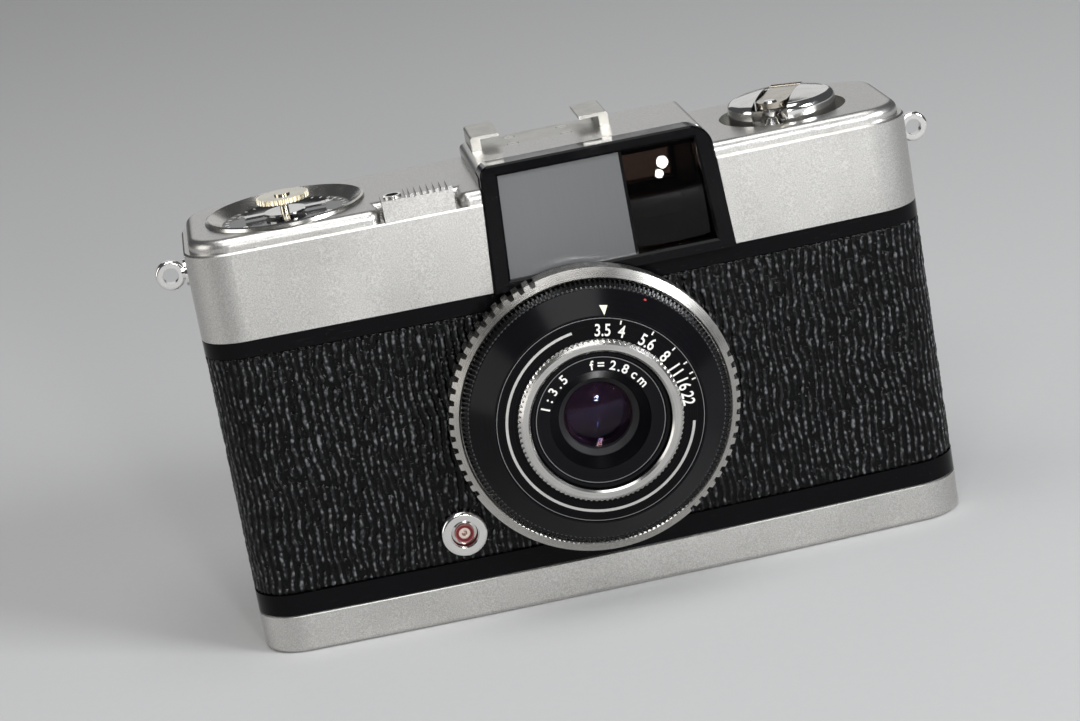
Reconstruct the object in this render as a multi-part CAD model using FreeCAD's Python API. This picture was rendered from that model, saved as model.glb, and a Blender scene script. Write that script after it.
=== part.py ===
import FreeCAD, Part
import math
import os

# Half frame viewfinder camera.
# Frame: X to the right as seen from the front, the lens looks along -Y, Z is up.
# Origin: middle of the body's depth and width, on the underside. Lengths in millimetres.
# "Forward" distances along the lens axis are measured from the origin's plane towards the front.

VECTOR = FreeCAD.Vector
UP = VECTOR(0, 0, 1)
FRONT = VECTOR(0, -1, 0)
BIG = 400.0

# ---- driving dimensions: the body ----
body_width = 111.0
body_depth = 29.0
corner_radius = 7.0
front_bow = 1.15
base_cover_height = 6.1
casting_top = 50.0
chamber_y = 0.2
leather_bottom = 9.5
leather_drop = 2.4
leather_thickness = 0.55
door_seam_y = 11.0
door_wall = 1.4
cover_wall = 1.0
seam_gap = 0.1
fit_gap = 0.05
clear_gap = 0.3

# ---- top cover ----
cover_side_height = 13.7
ledge_width = 0.9
bevel_height = 2.0
bevel_radius = 1.3
pocket_corner_radius = 1.6
hump_rise = 2.2
hump_left = -10.6
hump_right = 24.6
hump_edge_radius = 1.2
cover_roof = 1.2
hump_roof = 2.0

# ---- finder ----
finder_left = -11.4
finder_right = 25.7
finder_side_taper = 1.1
finder_height = 19.2
finder_block_depth = 6.0
finder_proud = 1.1
finder_lean = 4.5
finder_border = 2.6
finder_sill = 1.75
finder_brow = 1.8
finder_bevel = 0.35
finder_pane_setback = 1.2
finder_divider_x = 10.6
finder_divider_width = 0.5
finder_glass_thickness = 0.8
finder_tube_width = 11.8
finder_tube_wall = 0.8
eyepiece_width = 14.0
eyepiece_height = 11.6
eyepiece_frame_depth = 1.8
eyepiece_neck_inset = 0.85
sight_half_width = 4.6
sight_half_height = 3.6

# ---- accessory shoe ----
shoe_x = 1.4
shoe_front_y = 4.0
shoe_length = 10.0
shoe_inner_width = 18.6
shoe_wall = 1.5
shoe_lip_opening = 12.6
shoe_gap = 2.1
shoe_plate = 0.5
shoe_recess = 0.9
shoe_screw_radius = 0.9
shoe_screw_hole_radius = 0.55

# ---- strap lugs ----
lug_drop_from_plateau = 6.5
lug_ring_radius = 2.3
lug_hole_radius = 1.25
lug_ring_thickness = 1.5
lug_reach = 2.7

# ---- frame counter, advance wheel, spool, sprocket ----
counter_end_offset = 16.2
counter_bezel_radius = 12.3
counter_dial_radius = 9.8
counter_dial_thickness = 0.8
counter_knob_radius = 4.0
counter_knob_rise = 1.6
counter_knob_thickness = 0.8
counter_knob_teeth = 36
counter_spindle_radius = 0.9
wheel_y = 2.0
wheel_radius = 13.2
wheel_thickness = 3.0
wheel_rise = 2.4
wheel_slot_half = 8.2
wheel_slot_gap = 0.5
wheel_teeth = 64
spool_core_radius = 5.6
spool_flange_radius = 9.9
spindle_radius = 1.4
sprocket_x = -23.3
sprocket_y = 2.6
sprocket_radius = 6.05
sprocket_tooth_height = 0.9
sprocket_teeth = 8
film_width = 35.0
perforation_spacing = 28.2

# ---- film chambers and gate ----
chamber_radius = 12.75
gate_half_width = 15.9
gate_plane_y = 9.6
gate_plate = 0.8
rail_height = 0.5
frame_width = 18.0
frame_height = 24.0
deck_thickness = 1.5
floor_thickness = 1.9

# ---- release ----
release_left = -25.3
release_socket_width = 3.6
release_bush_radius = 1.35
release_bore_radius = 0.95
release_right = -14.6
release_front_y = -13.9
release_depth = 5.3
release_height = 3.6
release_sink = 0.2
release_well_depth = 2.2
release_well_gap = 0.1
release_travel = 1.5
release_side_gap = 0.6
release_stem_half = 1.5
ridge_pitch = 0.95

# ---- rewind knob ----
rewind_end_offset = 17.1
rewind_shaft_radius = 2.0
rewind_collar_radius = 3.4
rewind_lift = 6.0
knob_radius = 8.3
knob_recess_radius = 9.8
knob_recess_depth = 2.3
knob_height = 5.4
knob_dome = 0.9
crank_heading = -115.0
crank_width = 4.8
crank_thickness = 0.9
crank_hinge_reach = 5.0
crank_tip_reach = 7.4
crank_pin_radius = 0.4
crank_handle_radius = 1.6
crank_slot_width = 5.4

# ---- lens: radii about the lens axis, forward distances from the origin's plane ----
lens_drop_from_deck = 19.5
housing_radius = 14.55
helicoid_wall = 1.0
helicoid_bore_gap = 0.15
helicoid_flange_radius = 17.0
focus_radius = 22.06
focus_rear = 16.0
focus_front = 19.5
focus_bevel_front = 20.5
focus_bevel_radius = 20.45
focus_tooth_pitch = 4.9
focus_tooth_depth = 0.65
speed_radius = 20.3
speed_rear = 19.7
speed_front = 21.35
drum_radius = 17.0
cone_rear = 21.5
cone_outer_radius = 19.25
cone_inner_radius = 15.75
cone_front = 24.9
scale_radius = 15.6
scale_front = 24.75
grip_outer_radius = 12.4
grip_inner_radius = 10.65
grip_front = 25.8
grip_teeth = 96
aperture_rear = 22.95
barrel_radius = 10.55
name_ring_front = 24.9
name_ring_throat = 6.05
name_ring_slope_start = 7.2
blade_cavity_radius = 12.9
blade_cavity_rear = 14.9
blade_cavity_front = 17.4
barrel_throat_radius = 4.4
front_glass_radius = 5.2
front_glass_seat = 19.8
front_glass_collar = 22.0
focus_travel = 1.4
blade_pivot_radius = 11.5
blade_pin_radius = 0.45
blade_inner_radius = 5.7
blade_outer_radius = 9.2
aperture_blade_count = 5
blade_thickness = 0.12

# ---- flash socket, tripod bush, lock key, rewind release ----
flash_x = -22.5
flash_height = 14.1
flash_radius = 3.6
flash_inner_radius = 2.2
tripod_thread_radius = 2.55
tripod_bush_radius = 4.5
tripod_bush_length = 3.8
lock_disc_radius = 8.9
lock_shaft_radius = 1.5
lock_handle_radius = 7.4
lock_handle_width = 1.8
lock_pin_radius = 0.3
lock_pin_z = 0.6
rewind_button_radius = 2.0

# ---- worked out from the driving dimensions ----
front_y = -body_depth / 2
back_y = body_depth / 2
half_width = body_width / 2
leather_top = casting_top - leather_drop
ledge_z = casting_top + cover_side_height
plateau_z = ledge_z + bevel_height
hump_z = plateau_z + hump_rise
lens_z = casting_top - lens_drop_from_deck
counter_x = -half_width + counter_end_offset
rewind_x = half_width - rewind_end_offset
lug_z = plateau_z - lug_drop_from_plateau
deck_under_z = casting_top - deck_thickness
floor_z = base_cover_height + floor_thickness
inner_door_y = back_y - door_wall - leather_thickness
helicoid_bore = housing_radius + fit_gap
helicoid_radius = helicoid_bore + helicoid_wall
finder_front_y = front_y - finder_proud
finder_rear_y = finder_front_y + finder_block_depth
knob_base_z = plateau_z - knob_recess_depth + clear_gap


def box(x0, x1, y0, y1, z0, z1):
    """Block between three pairs of coordinates."""
    return Part.makeBox(x1 - x0, y1 - y0, z1 - z0, VECTOR(x0, y0, z0))


def post(x, y, z0, z1, radius):
    """Upright cylinder."""
    return Part.makeCylinder(radius, z1 - z0, VECTOR(x, y, z0), UP)


def lens_disc(radius, rear, front, x=0.0, z=None):
    """Cylinder along the lens axis (or one beside it) between two forward distances."""
    height = lens_z if z is None else z
    return Part.makeCylinder(radius, front - rear, VECTOR(x, -rear, height), FRONT)


def lens_ring(outer, inner, rear, front):
    """Plain ring about the lens axis."""
    return lens_disc(outer, rear, front).cut(lens_disc(inner, rear - 1, front + 1))


def polygon_face(points):
    """Face bounded by straight runs through the points."""
    return Part.Face(Part.makePolygon(points + [points[0]]))


def lens_revolve(profile):
    """Solid of revolution about the lens axis from (radius, forward distance) points."""
    points = [VECTOR(radius, -forward, lens_z) for radius, forward in profile]
    return polygon_face(points).revolve(VECTOR(0, 0, lens_z), FRONT, 360)


def upright_revolve(x, y, profile):
    """Solid of revolution about an upright axis from (radius, height) points."""
    points = [VECTOR(x + radius, y, height) for radius, height in profile]
    return polygon_face(points).revolve(VECTOR(x, y, 0), UP, 360)


def flat_edges(shape, z):
    """Edges that lie at one height."""
    return [e for e in shape.Edges if abs(e.BoundBox.ZMin - z) < 1e-4 and abs(e.BoundBox.ZMax - z) < 1e-4]


def arc(start, middle, end):
    """Circular edge through three points."""
    return Part.Arc(start, middle, end).toShape()


def plan_prism(inset, z0, z1):
    """The body's plan (bowed front, round corners), drawn in by an inset and raised from z0 to z1."""
    radius = corner_radius - inset
    side = half_width - inset
    front = front_y + inset
    back = back_y - inset
    flat = side - radius
    corner_front = front + front_bow
    diagonal = radius * (1 - math.sqrt(0.5))
    round_x = side - diagonal
    front_mid = corner_front + diagonal
    front_end = corner_front + radius
    back_mid = back - diagonal
    back_end = back - radius

    def at(x, y):
        return VECTOR(x, y, z0)

    edges = [
        arc(at(-flat, corner_front), at(0, front), at(flat, corner_front)),
        arc(at(flat, corner_front), at(round_x, front_mid), at(side, front_end)),
        Part.makeLine(at(side, front_end), at(side, back_end)),
        arc(at(side, back_end), at(round_x, back_mid), at(flat, back)),
        Part.makeLine(at(flat, back), at(-flat, back)),
        arc(at(-flat, back), at(-round_x, back_mid), at(-side, back_end)),
        Part.makeLine(at(-side, back_end), at(-side, front_end)),
        arc(at(-side, front_end), at(-round_x, front_mid), at(-flat, corner_front)),
    ]
    return Part.Face(Part.Wire(edges)).extrude(VECTOR(0, 0, z1 - z0))


def front_surface_y(x):
    """Where the bowed front lies at a distance x from the middle."""
    return front_y + front_bow * (x / (half_width - corner_radius)) ** 2


def toothed_disc(outer, root, count):
    """List of (angle, radius) corners of trapezoid teeth all round a circle."""
    pitch = 360.0 / count
    corners = []
    for index in range(count):
        base = index * pitch
        for share, radius in ((0.1, root), (0.35, outer), (0.65, outer), (0.9, root)):
            corners.append((math.radians(base + share * pitch), radius))
    return corners


def lens_toothed(outer, root, count, rear, front):
    """Disc about the lens axis with teeth all round."""
    points = []
    for angle, radius in toothed_disc(outer, root, count):
        points.append(VECTOR(radius * math.cos(angle), -rear, lens_z + radius * math.sin(angle)))
    return polygon_face(points).extrude(VECTOR(0, rear - front, 0))


def upright_toothed(x, y, outer, root, count, z0, z1):
    """Upright disc with teeth all round."""
    points = []
    for angle, radius in toothed_disc(outer, root, count):
        points.append(VECTOR(x + radius * math.cos(angle), y + radius * math.sin(angle), z0))
    return polygon_face(points).extrude(VECTOR(0, 0, z1 - z0))


def in_front_of_seam():
    """Everything forward of the seam between body and back."""
    return box(-BIG, BIG, -BIG, door_seam_y - seam_gap, -BIG, BIG)


def behind_seam():
    """Everything behind the seam between body and back."""
    return box(-BIG, BIG, door_seam_y, BIG, -BIG, BIG)


# ---- body ----

def skinned_shell(bottom, top):
    """Body block with a shallow recess all round for the leather."""
    lower = plan_prism(0, bottom, leather_bottom)
    middle = plan_prism(leather_thickness, leather_bottom, leather_top)
    upper = plan_prism(0, leather_top, top)
    return lower.fuse([middle, upper])


def body_casting():
    """Die-cast body: front and end walls, film chambers, lens bore, deck and lower lip."""
    shell = skinned_shell(base_cover_height + seam_gap, casting_top)
    lip = plan_prism(cover_wall + 2 * fit_gap, base_cover_height - 2.0, base_cover_height + seam_gap)
    block = shell.fuse(lip).common(in_front_of_seam())
    lip_z = base_cover_height - 2.1
    supply_left = rewind_x - chamber_radius
    supply_right = rewind_x + chamber_radius
    wind_left = counter_x - chamber_radius
    wind_right = counter_x + chamber_radius
    film_path = box(wind_left, supply_right, gate_plane_y, BIG, floor_z, deck_under_z)
    cassette = post(rewind_x, chamber_y, lip_z, deck_under_z, chamber_radius)
    cassette_back = box(supply_left, supply_right, chamber_y, BIG, lip_z, deck_under_z)
    take_up = post(counter_x, chamber_y, floor_z, deck_under_z, chamber_radius)
    take_up_back = box(wind_left, wind_right, chamber_y, BIG, floor_z, deck_under_z)
    bay_left = wind_right - 4.0
    bay = box(bay_left, -gate_half_width, sprocket_y - 7.6, BIG, floor_z, deck_under_z)
    throat_half_x = frame_width / 2 + 1.0
    throat_half_z = frame_height / 2 + 1.0
    throat = box(-throat_half_x, throat_half_x, front_y, BIG, lens_z - throat_half_z, lens_z + throat_half_z)
    lens_bore = lens_disc(helicoid_radius + helicoid_bore_gap, -front_y - 4.3, -front_y + 1)
    flash_bore = lens_disc(flash_radius + 0.02, -front_y - 3.0, -front_y + 1, flash_x, flash_height)
    holes = [
        post(counter_x, wheel_y, floor_z - 1.0, casting_top + 1, spindle_radius + fit_gap),
        post(sprocket_x, sprocket_y, floor_z - 1.2, casting_top - 0.4, spindle_radius + fit_gap),
        post(rewind_x, 0, deck_under_z - 1, casting_top + 1, rewind_collar_radius + fit_gap),
        post(sprocket_x, sprocket_y - 5.0, lip_z - 1, floor_z + 1, 1.2 + fit_gap),
    ]
    cuts = [film_path, cassette, cassette_back, take_up, take_up_back, bay, throat, lens_bore, flash_bore]
    return block.cut(cuts + holes)


def front_leather():
    """Leatherette round the front and ends."""
    skin = plan_prism(0, leather_bottom, leather_top).cut(
        plan_prism(leather_thickness, leather_bottom - 1, leather_top + 1))
    hole = lens_disc(20.0, -front_y - 4, -front_y + 2)
    flash_hole = lens_disc(flash_radius + 0.05, -front_y - 4, -front_y + 2, flash_x, flash_height)
    return skin.common(in_front_of_seam()).cut([hole, flash_hole])


def film_gate():
    """Plate with the picture opening and two film rails."""
    y0 = gate_plane_y
    y1 = gate_plane_y + gate_plate
    plate = box(-gate_half_width, gate_half_width, y0, y1, lens_z - film_width / 2, lens_z + film_width / 2)
    rails = []
    for side in (-1, 1):
        middle = lens_z + side * (frame_height / 2 + 1.6)
        rails.append(box(-gate_half_width, gate_half_width, y1, y1 + rail_height, middle - 0.6, middle + 0.6))
    opening = box(-frame_width / 2, frame_width / 2, y0 - 1, y1 + 2,
                  lens_z - frame_height / 2, lens_z + frame_height / 2)
    return plate.fuse(rails).cut(opening)


# ---- top cover ----

def cover_outside():
    """Outer form: straight sides, a ledge, a rounded plateau and the finder hump."""
    sides = plan_prism(0, casting_top + seam_gap, ledge_z)
    sides = sides.makeChamfer(0.25, flat_edges(sides, ledge_z))
    plateau = plan_prism(ledge_width, ledge_z - 1, plateau_z).cut(release_pocket())
    plateau = plateau.makeFillet(pocket_corner_radius, pocket_corners(plateau))
    plateau = plateau.makeFillet(bevel_radius, flat_edges(plateau, plateau_z))
    hump = box(hump_left, hump_right, finder_rear_y - 2, back_y - ledge_width - 0.3, ledge_z - 1, hump_z)
    hump = hump.makeFillet(hump_edge_radius, flat_edges(hump, hump_z))
    return sides.fuse([plateau, hump])


def release_pocket():
    """Recess in the plateau that the release sits in."""
    return box(release_left - release_side_gap, release_right + release_side_gap, front_y - 1,
               release_front_y + release_depth + clear_gap, ledge_z, plateau_z + 1)


def pocket_corners(plateau):
    """Upright edges where the release's recess breaks through the plateau's front."""
    limit = release_front_y + release_depth / 2
    return [e for e in plateau.Edges if e.BoundBox.XLength < 0.01 and e.BoundBox.ZLength > 1.5
            and e.BoundBox.YMax < limit and abs(e.BoundBox.XMin) < half_width - corner_radius - 1]


def cover_cavity():
    """Hollow inside the cover, leaving floors under the release and the rewind knob."""
    hollow = plan_prism(cover_wall, casting_top, plateau_z - cover_roof)
    hump = box(hump_left + 1.4, hump_right - 1.4, finder_rear_y, back_y - 2.4,
               casting_top, hump_z - hump_roof)
    release_floor = box(release_left - 1.8, release_right + 1.8,
                        front_y, release_front_y + release_depth + 1.5,
                        ledge_z - release_well_depth - cover_roof, BIG)
    knob_floor = post(rewind_x, 0, plateau_z - knob_recess_depth - cover_roof, BIG, knob_recess_radius + 1)
    return hollow.fuse(hump).cut([release_floor, knob_floor])


def top_cover():
    """Satin top cover with its openings."""
    recess = post(rewind_x, 0, plateau_z - knob_recess_depth, BIG, knob_recess_radius)
    shaft_hole = post(rewind_x, 0, casting_top, BIG, rewind_shaft_radius + fit_gap)
    counter_hole = post(counter_x, 0, plateau_z - 5, BIG, counter_bezel_radius - 0.5)
    wheel_slot = box(counter_x - wheel_slot_half, counter_x + wheel_slot_half, back_y - 4, back_y + 2,
                     casting_top + wheel_rise - wheel_slot_gap,
                     casting_top + wheel_rise + wheel_thickness + wheel_slot_gap)
    slot_inset = eyepiece_neck_inset - fit_gap
    eyepiece_half_x = eyepiece_width / 2 - slot_inset
    eyepiece_half_z = eyepiece_height / 2 - slot_inset
    eyepiece_slot = box(finder_tube_x() - eyepiece_half_x, finder_tube_x() + eyepiece_half_x,
                        back_y - 4, back_y + 2,
                        eyepiece_z() - eyepiece_half_z, eyepiece_z() + eyepiece_half_z)
    shoe_seat = box(shoe_x - shoe_outer_half() - 0.1, shoe_x + shoe_outer_half() + 0.1, shoe_front_y - 0.1,
                    shoe_front_y + shoe_length + 2, hump_z - shoe_recess, BIG)
    screw_holes = [post(x, y, hump_z - 4, BIG, shoe_screw_hole_radius) for x, y in shoe_screw_places()]
    lug_holes = Part.makeCylinder(1.15, body_width + 4, VECTOR(-half_width - 2, 0, lug_z), VECTOR(1, 0, 0))
    stem = release_stem(release_stem_half + 0.1, casting_top, BIG)
    well = box(release_left - release_well_gap, release_right + release_well_gap,
               release_front_y - release_well_gap, release_front_y + release_depth + release_well_gap,
               ledge_z - release_well_depth, BIG)
    cuts = [cover_cavity(), finder_blank(seam_gap, 2.0), release_pocket(), recess, shaft_hole, counter_hole,
            wheel_slot, eyepiece_slot, shoe_seat, lug_holes, stem, well]
    return cover_outside().cut(cuts + screw_holes)


# ---- finder ----

def lean_back(shape):
    """Tip a finder piece back about the frame's lower front edge."""
    leaned = shape.copy()
    leaned.rotate(VECTOR(0, finder_front_y, casting_top), VECTOR(1, 0, 0), -finder_lean)
    return leaned


def finder_trapezoid(grow, y, bottom, top):
    """Finder outline, narrower at the top, grown by a margin, as a wire at one depth."""
    slope = finder_side_taper / finder_height
    rise = bottom - casting_top
    reach = top - casting_top
    points = [
        VECTOR(finder_left - grow + slope * rise, y, bottom),
        VECTOR(finder_right + grow - slope * rise, y, bottom),
        VECTOR(finder_right + grow - slope * reach, y, top),
        VECTOR(finder_left - grow + slope * reach, y, top),
    ]
    return Part.makePolygon(points + [points[0]])


def finder_blank(grow, extra_front):
    """Solid block of the finder frame with rounded upper corners, leaned back."""
    top = casting_top + finder_height + grow
    start_y = finder_front_y - extra_front
    wire = finder_trapezoid(grow, start_y, casting_top - 2, top)
    block = Part.Face(wire).extrude(VECTOR(0, finder_block_depth + extra_front + grow, 0))
    for radius, side in ((1.6, -1), (3.4, 1)):
        corner = [e for e in block.Edges if e.BoundBox.ZMin > top - 0.01 and e.BoundBox.YLength > 1
                  and side * (e.BoundBox.XMin - finder_divider_x) > 5]
        block = block.makeFillet(radius, corner)
    floor = casting_top + seam_gap - grow
    return lean_back(block).common(box(-BIG, BIG, -BIG, BIG, floor, BIG))


def window_wire(grow, y):
    """Outline of the window opening at one depth, grown by a margin."""
    bottom = casting_top + finder_sill - grow
    top = casting_top + finder_height - finder_brow + grow
    return finder_trapezoid(grow - finder_border, y, bottom, top)


def window_prism(y0, y1):
    """Prism through the window opening, before leaning."""
    return Part.Face(window_wire(0, y0)).extrude(VECTOR(0, y1 - y0, 0))


def finder_frame():
    """Black bezel with a bevelled window opening and a thin bar between the two windows."""
    bevel = Part.makeLoft([window_wire(finder_bevel, finder_front_y - 0.01),
                           window_wire(0, finder_front_y + finder_bevel)], True)
    hole = window_prism(finder_front_y, finder_rear_y + 3)
    bar = box(finder_divider_x, finder_divider_x + finder_divider_width,
              finder_front_y + finder_pane_setback + 0.2, finder_rear_y,
              casting_top + 1, casting_top + finder_height - 1)
    cutter = lean_back(bevel.fuse(hole).cut(bar))
    blank = finder_blank(0, 0)
    return blank.makeChamfer(0.3, finder_front_edges(blank)).cut(cutter)


def finder_front_edges(blank):
    """Top and side edges of the bezel's leaning front face."""
    slope = math.tan(math.radians(finder_lean))

    def on_face(vertex):
        return abs(vertex.Y - finder_front_y - slope * (vertex.Z - casting_top)) < 0.01

    edges = [e for e in blank.Edges if all(on_face(v) for v in e.Vertexes)]
    return [e for e in edges if e.BoundBox.ZMax > casting_top + 1]


def finder_pane(left, right, setback, thickness):
    """Glass plate that fills part of the window opening."""
    y0 = finder_front_y + setback
    pane = window_prism(y0, y0 + thickness)
    return lean_back(pane.common(box(left, right, -BIG, BIG, -BIG, BIG)))


def frosted_window():
    """Frosted pane that lights the frame lines."""
    return finder_pane(-BIG, finder_divider_x, finder_pane_setback, finder_glass_thickness)


def finder_objective():
    """Clear front pane of the viewfinder, set deeper."""
    left = finder_divider_x + finder_divider_width
    return finder_pane(left, BIG, finder_pane_setback + 0.6, finder_glass_thickness)


def finder_tube_x():
    """Middle of the viewfinder tube, behind the clear pane."""
    right = finder_right - finder_border
    return (finder_divider_x + finder_divider_width + right) / 2


def eyepiece_z():
    """Height of the viewfinder axis."""
    return casting_top + finder_height / 2 - 0.4


def finder_tube():
    """Rectangular tube from the clear pane to the eyepiece, standing on the deck."""
    x0 = finder_tube_x() - finder_tube_width / 2
    x1 = x0 + finder_tube_width
    y0 = finder_rear_y + 2.2
    y1 = back_y - 2.5
    z0 = casting_top
    z1 = hump_z - hump_roof - 0.1
    wall = finder_tube_wall
    return box(x0, x1, y0, y1, z0, z1).cut(box(x0 + wall, x1 - wall, y0 - 1, y1 + 1, z0 + wall, z1 - wall))


def eyepiece_frame():
    """Black rounded surround of the eyepiece, set in the back of the cover."""
    half_x = eyepiece_width / 2
    half_z = eyepiece_height / 2
    x = finder_tube_x()
    z = eyepiece_z()
    face = box(x - half_x, x + half_x, back_y + 0.01, back_y + 0.6, z - half_z, z + half_z)
    corners = [e for e in face.Edges if e.BoundBox.YLength > 0.5]
    face = face.makeFillet(1.8, corners)
    neck_x = half_x - eyepiece_neck_inset
    neck_z = half_z - eyepiece_neck_inset
    neck = box(x - neck_x, x + neck_x, back_y - eyepiece_frame_depth, back_y + 0.3, z - neck_z, z + neck_z)
    sight = box(x - sight_half_width, x + sight_half_width, back_y - 5, back_y + 2,
                z - sight_half_height, z + sight_half_height)
    return face.fuse(neck).cut(sight)


def eyepiece_lens():
    """Glass of the eyepiece."""
    x = finder_tube_x()
    z = eyepiece_z()
    return box(x - sight_half_width, x + sight_half_width, back_y - 1.2, back_y - 0.2,
               z - sight_half_height, z + sight_half_height)


# ---- accessory shoe ----

def shoe_outer_half():
    """Half the shoe's outside width."""
    return shoe_inner_width / 2 + shoe_wall


def shoe_screw_places():
    """Centres of the four shoe screws."""
    middle_y = shoe_front_y + shoe_length / 2
    return [(shoe_x + dx, middle_y + dy) for dx in (-4.2, 4.2) for dy in (-2.6, 2.6)]


def accessory_shoe():
    """Base plate with two C-shaped rails."""
    base_z = hump_z - shoe_recess
    slot_z = base_z + shoe_plate
    lip_z = slot_z + shoe_gap
    x0 = shoe_x - shoe_outer_half()
    x1 = shoe_x + shoe_outer_half()
    block = box(x0, x1, shoe_front_y, shoe_front_y + shoe_length, base_z, lip_z + shoe_plate)
    long_edges = [e for e in flat_edges(block, lip_z + shoe_plate) if e.BoundBox.YLength > 1]
    block = block.makeFillet(0.45, long_edges)
    slot = box(shoe_x - shoe_inner_width / 2, shoe_x + shoe_inner_width / 2, -BIG, BIG, slot_z, lip_z)
    mouth = box(shoe_x - shoe_lip_opening / 2, shoe_x + shoe_lip_opening / 2, -BIG, BIG, slot_z, BIG)
    cuts = [slot, mouth]
    for x, y in shoe_screw_places():
        cuts.append(post(x, y, slot_z - 0.25, BIG, shoe_screw_radius + fit_gap))
        cuts.append(post(x, y, base_z - 1, BIG, shoe_screw_hole_radius))
    return block.cut(cuts)


def shoe_screws():
    """Four flush slotted screws that hold the shoe."""
    head_z = hump_z - shoe_recess + shoe_plate - 0.25
    screws = []
    for x, y in shoe_screw_places():
        head = post(x, y, head_z, head_z + 0.25, shoe_screw_radius)
        shank = post(x, y, head_z - 1.6, head_z, 0.5)
        slot = box(x - 1, x + 1, y - 0.12, y + 0.12, head_z + 0.12, head_z + 1)
        screws.append(head.fuse(shank).cut(slot))
    return Part.makeCompound(screws)


# ---- lugs ----

def strap_lug(side):
    """Eyelet ring on a short post; side is -1 or 1."""
    ring_x = side * (half_width + lug_reach)
    half = lug_ring_thickness / 2
    ring = Part.makeCylinder(lug_ring_radius, lug_ring_thickness, VECTOR(ring_x, half, lug_z), FRONT)
    ring = ring.makeFillet(0.4, [e for e in ring.Edges if e.BoundBox.YLength < 0.01])
    hole = Part.makeCylinder(lug_hole_radius, 4, VECTOR(ring_x, 2, lug_z), FRONT)
    outward = VECTOR(side, 0, 0)
    stem = Part.makeCylinder(1.1, 2.6, VECTOR(side * (half_width - 1.6), 0, lug_z), outward)
    flange = Part.makeCylinder(2.1, 0.5, VECTOR(side * (half_width + 0.01), 0, lug_z), outward)
    return ring.fuse([stem, flange]).cut(hole)


# ---- frame counter ----

def counter_bezel():
    """Raised rim round the counter, coned down to the dial."""
    dial_z = plateau_z - 0.7
    lip = counter_bezel_radius - 0.55
    profile = [
        (8.6, dial_z - counter_dial_thickness - 0.7), (lip, dial_z - counter_dial_thickness - 0.7),
        (lip, plateau_z + 0.01), (counter_bezel_radius, plateau_z + 0.01),
        (counter_bezel_radius - 0.15, plateau_z + 0.5), (counter_bezel_radius - 0.5, plateau_z + 0.65),
        (counter_dial_radius, dial_z), (counter_dial_radius, dial_z - counter_dial_thickness),
        (8.6, dial_z - counter_dial_thickness),
    ]
    return upright_revolve(counter_x, 0, profile)


def counter_dial():
    """Black numbered disc."""
    top = plateau_z - 0.7
    disc = post(counter_x, 0, top - counter_dial_thickness, top, counter_dial_radius - 0.02)
    return disc.cut(post(counter_x, 0, top - 3, top + 1, counter_spindle_radius + fit_gap))


def counter_pointer():
    """Thin pointer with two short side arms."""
    z0 = plateau_z - 0.35
    z1 = z0 + 0.35
    hub = post(counter_x, 0, z0, z1, 3.2)
    needle = box(counter_x - 0.45, counter_x + 0.45, -6.6, 0, z0, z1)
    arms = box(counter_x - 6.2, counter_x + 6.2, -0.7, 0.7, z0, z1)
    bore = post(counter_x, 0, z0 - 1, z1 + 1, counter_spindle_radius)
    return hub.fuse([needle, arms]).cut(bore)


def counter_knob():
    """Thin serrated reset disc that stands over the dial on the pointer's spindle."""
    z0 = plateau_z + counter_knob_rise
    z1 = z0 + counter_knob_thickness
    root = counter_knob_radius - 0.3
    knob = upright_toothed(counter_x, 0, counter_knob_radius, root, counter_knob_teeth, z0, z1)
    cap = post(counter_x, 0, z1, z1 + 0.25, 1.2)
    neck = post(counter_x, 0, plateau_z, z0, counter_spindle_radius - 0.25)
    spindle = post(counter_x, 0, plateau_z - 4.5, plateau_z, counter_spindle_radius)
    return knob.fuse([cap, neck, spindle])


# ---- film transport ----

def advance_wheel():
    """Thumb wheel whose toothed edge shows at the back."""
    z0 = casting_top + wheel_rise
    root = wheel_radius - 0.7
    wheel = upright_toothed(counter_x, wheel_y, wheel_radius, root, wheel_teeth, z0, z0 + wheel_thickness)
    stub = post(counter_x, wheel_y, deck_under_z + 0.2, z0, spindle_radius)
    collar = post(counter_x, wheel_y, casting_top + fit_gap, z0, 4.0)
    return wheel.fuse([stub, collar])


def take_up_spool():
    """Slotted spool that winds the film up."""
    low = floor_z + 0.3
    high = deck_under_z - 0.3
    core = post(counter_x, wheel_y, low, high, spool_core_radius)
    flanges = [post(counter_x, wheel_y, z, z + 0.9, spool_flange_radius) for z in (low, high - 0.9)]
    lower_pin = post(counter_x, wheel_y, floor_z - 0.8, low, spindle_radius)
    slot = box(counter_x - 0.6, counter_x + 0.6, wheel_y - 8, wheel_y + 8, low + 4, high - 4)
    return core.fuse(flanges + [lower_pin]).cut(slot)


def film_sprocket():
    """Drum with a ring of teeth for each row of perforations."""
    low = floor_z + 0.3
    high = deck_under_z - 0.3
    drum = post(sprocket_x, sprocket_y, low, high, sprocket_radius - 1.6)
    pieces = [post(sprocket_x, sprocket_y, floor_z - 1.0, casting_top - 0.6, spindle_radius)]
    for side in (-1, 1):
        middle = lens_z + side * perforation_spacing / 2
        pieces.append(post(sprocket_x, sprocket_y, middle - 2.2, middle + 2.2, sprocket_radius))
        for index in range(sprocket_teeth):
            tooth = box(sprocket_x, sprocket_x + sprocket_radius + sprocket_tooth_height, sprocket_y - 0.7,
                        sprocket_y + 0.7, middle - 0.9, middle + 0.9)
            tooth.rotate(VECTOR(sprocket_x, sprocket_y, 0), UP, index * 360 / sprocket_teeth)
            pieces.append(tooth)
    return drum.fuse(pieces)


# ---- release ----

def release_stem_x():
    """Middle of the ridged part, where the stem goes down."""
    return (release_left + release_socket_width + release_right) / 2


def release_stem_y():
    """Middle of the button's depth."""
    return release_front_y + release_depth / 2


def release_stem(half, z0, z1):
    """Square stem of the button, or its hole."""
    x = release_stem_x()
    y = release_stem_y()
    return box(x - half, x + half, y - half, y + half, z0, z1)


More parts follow.
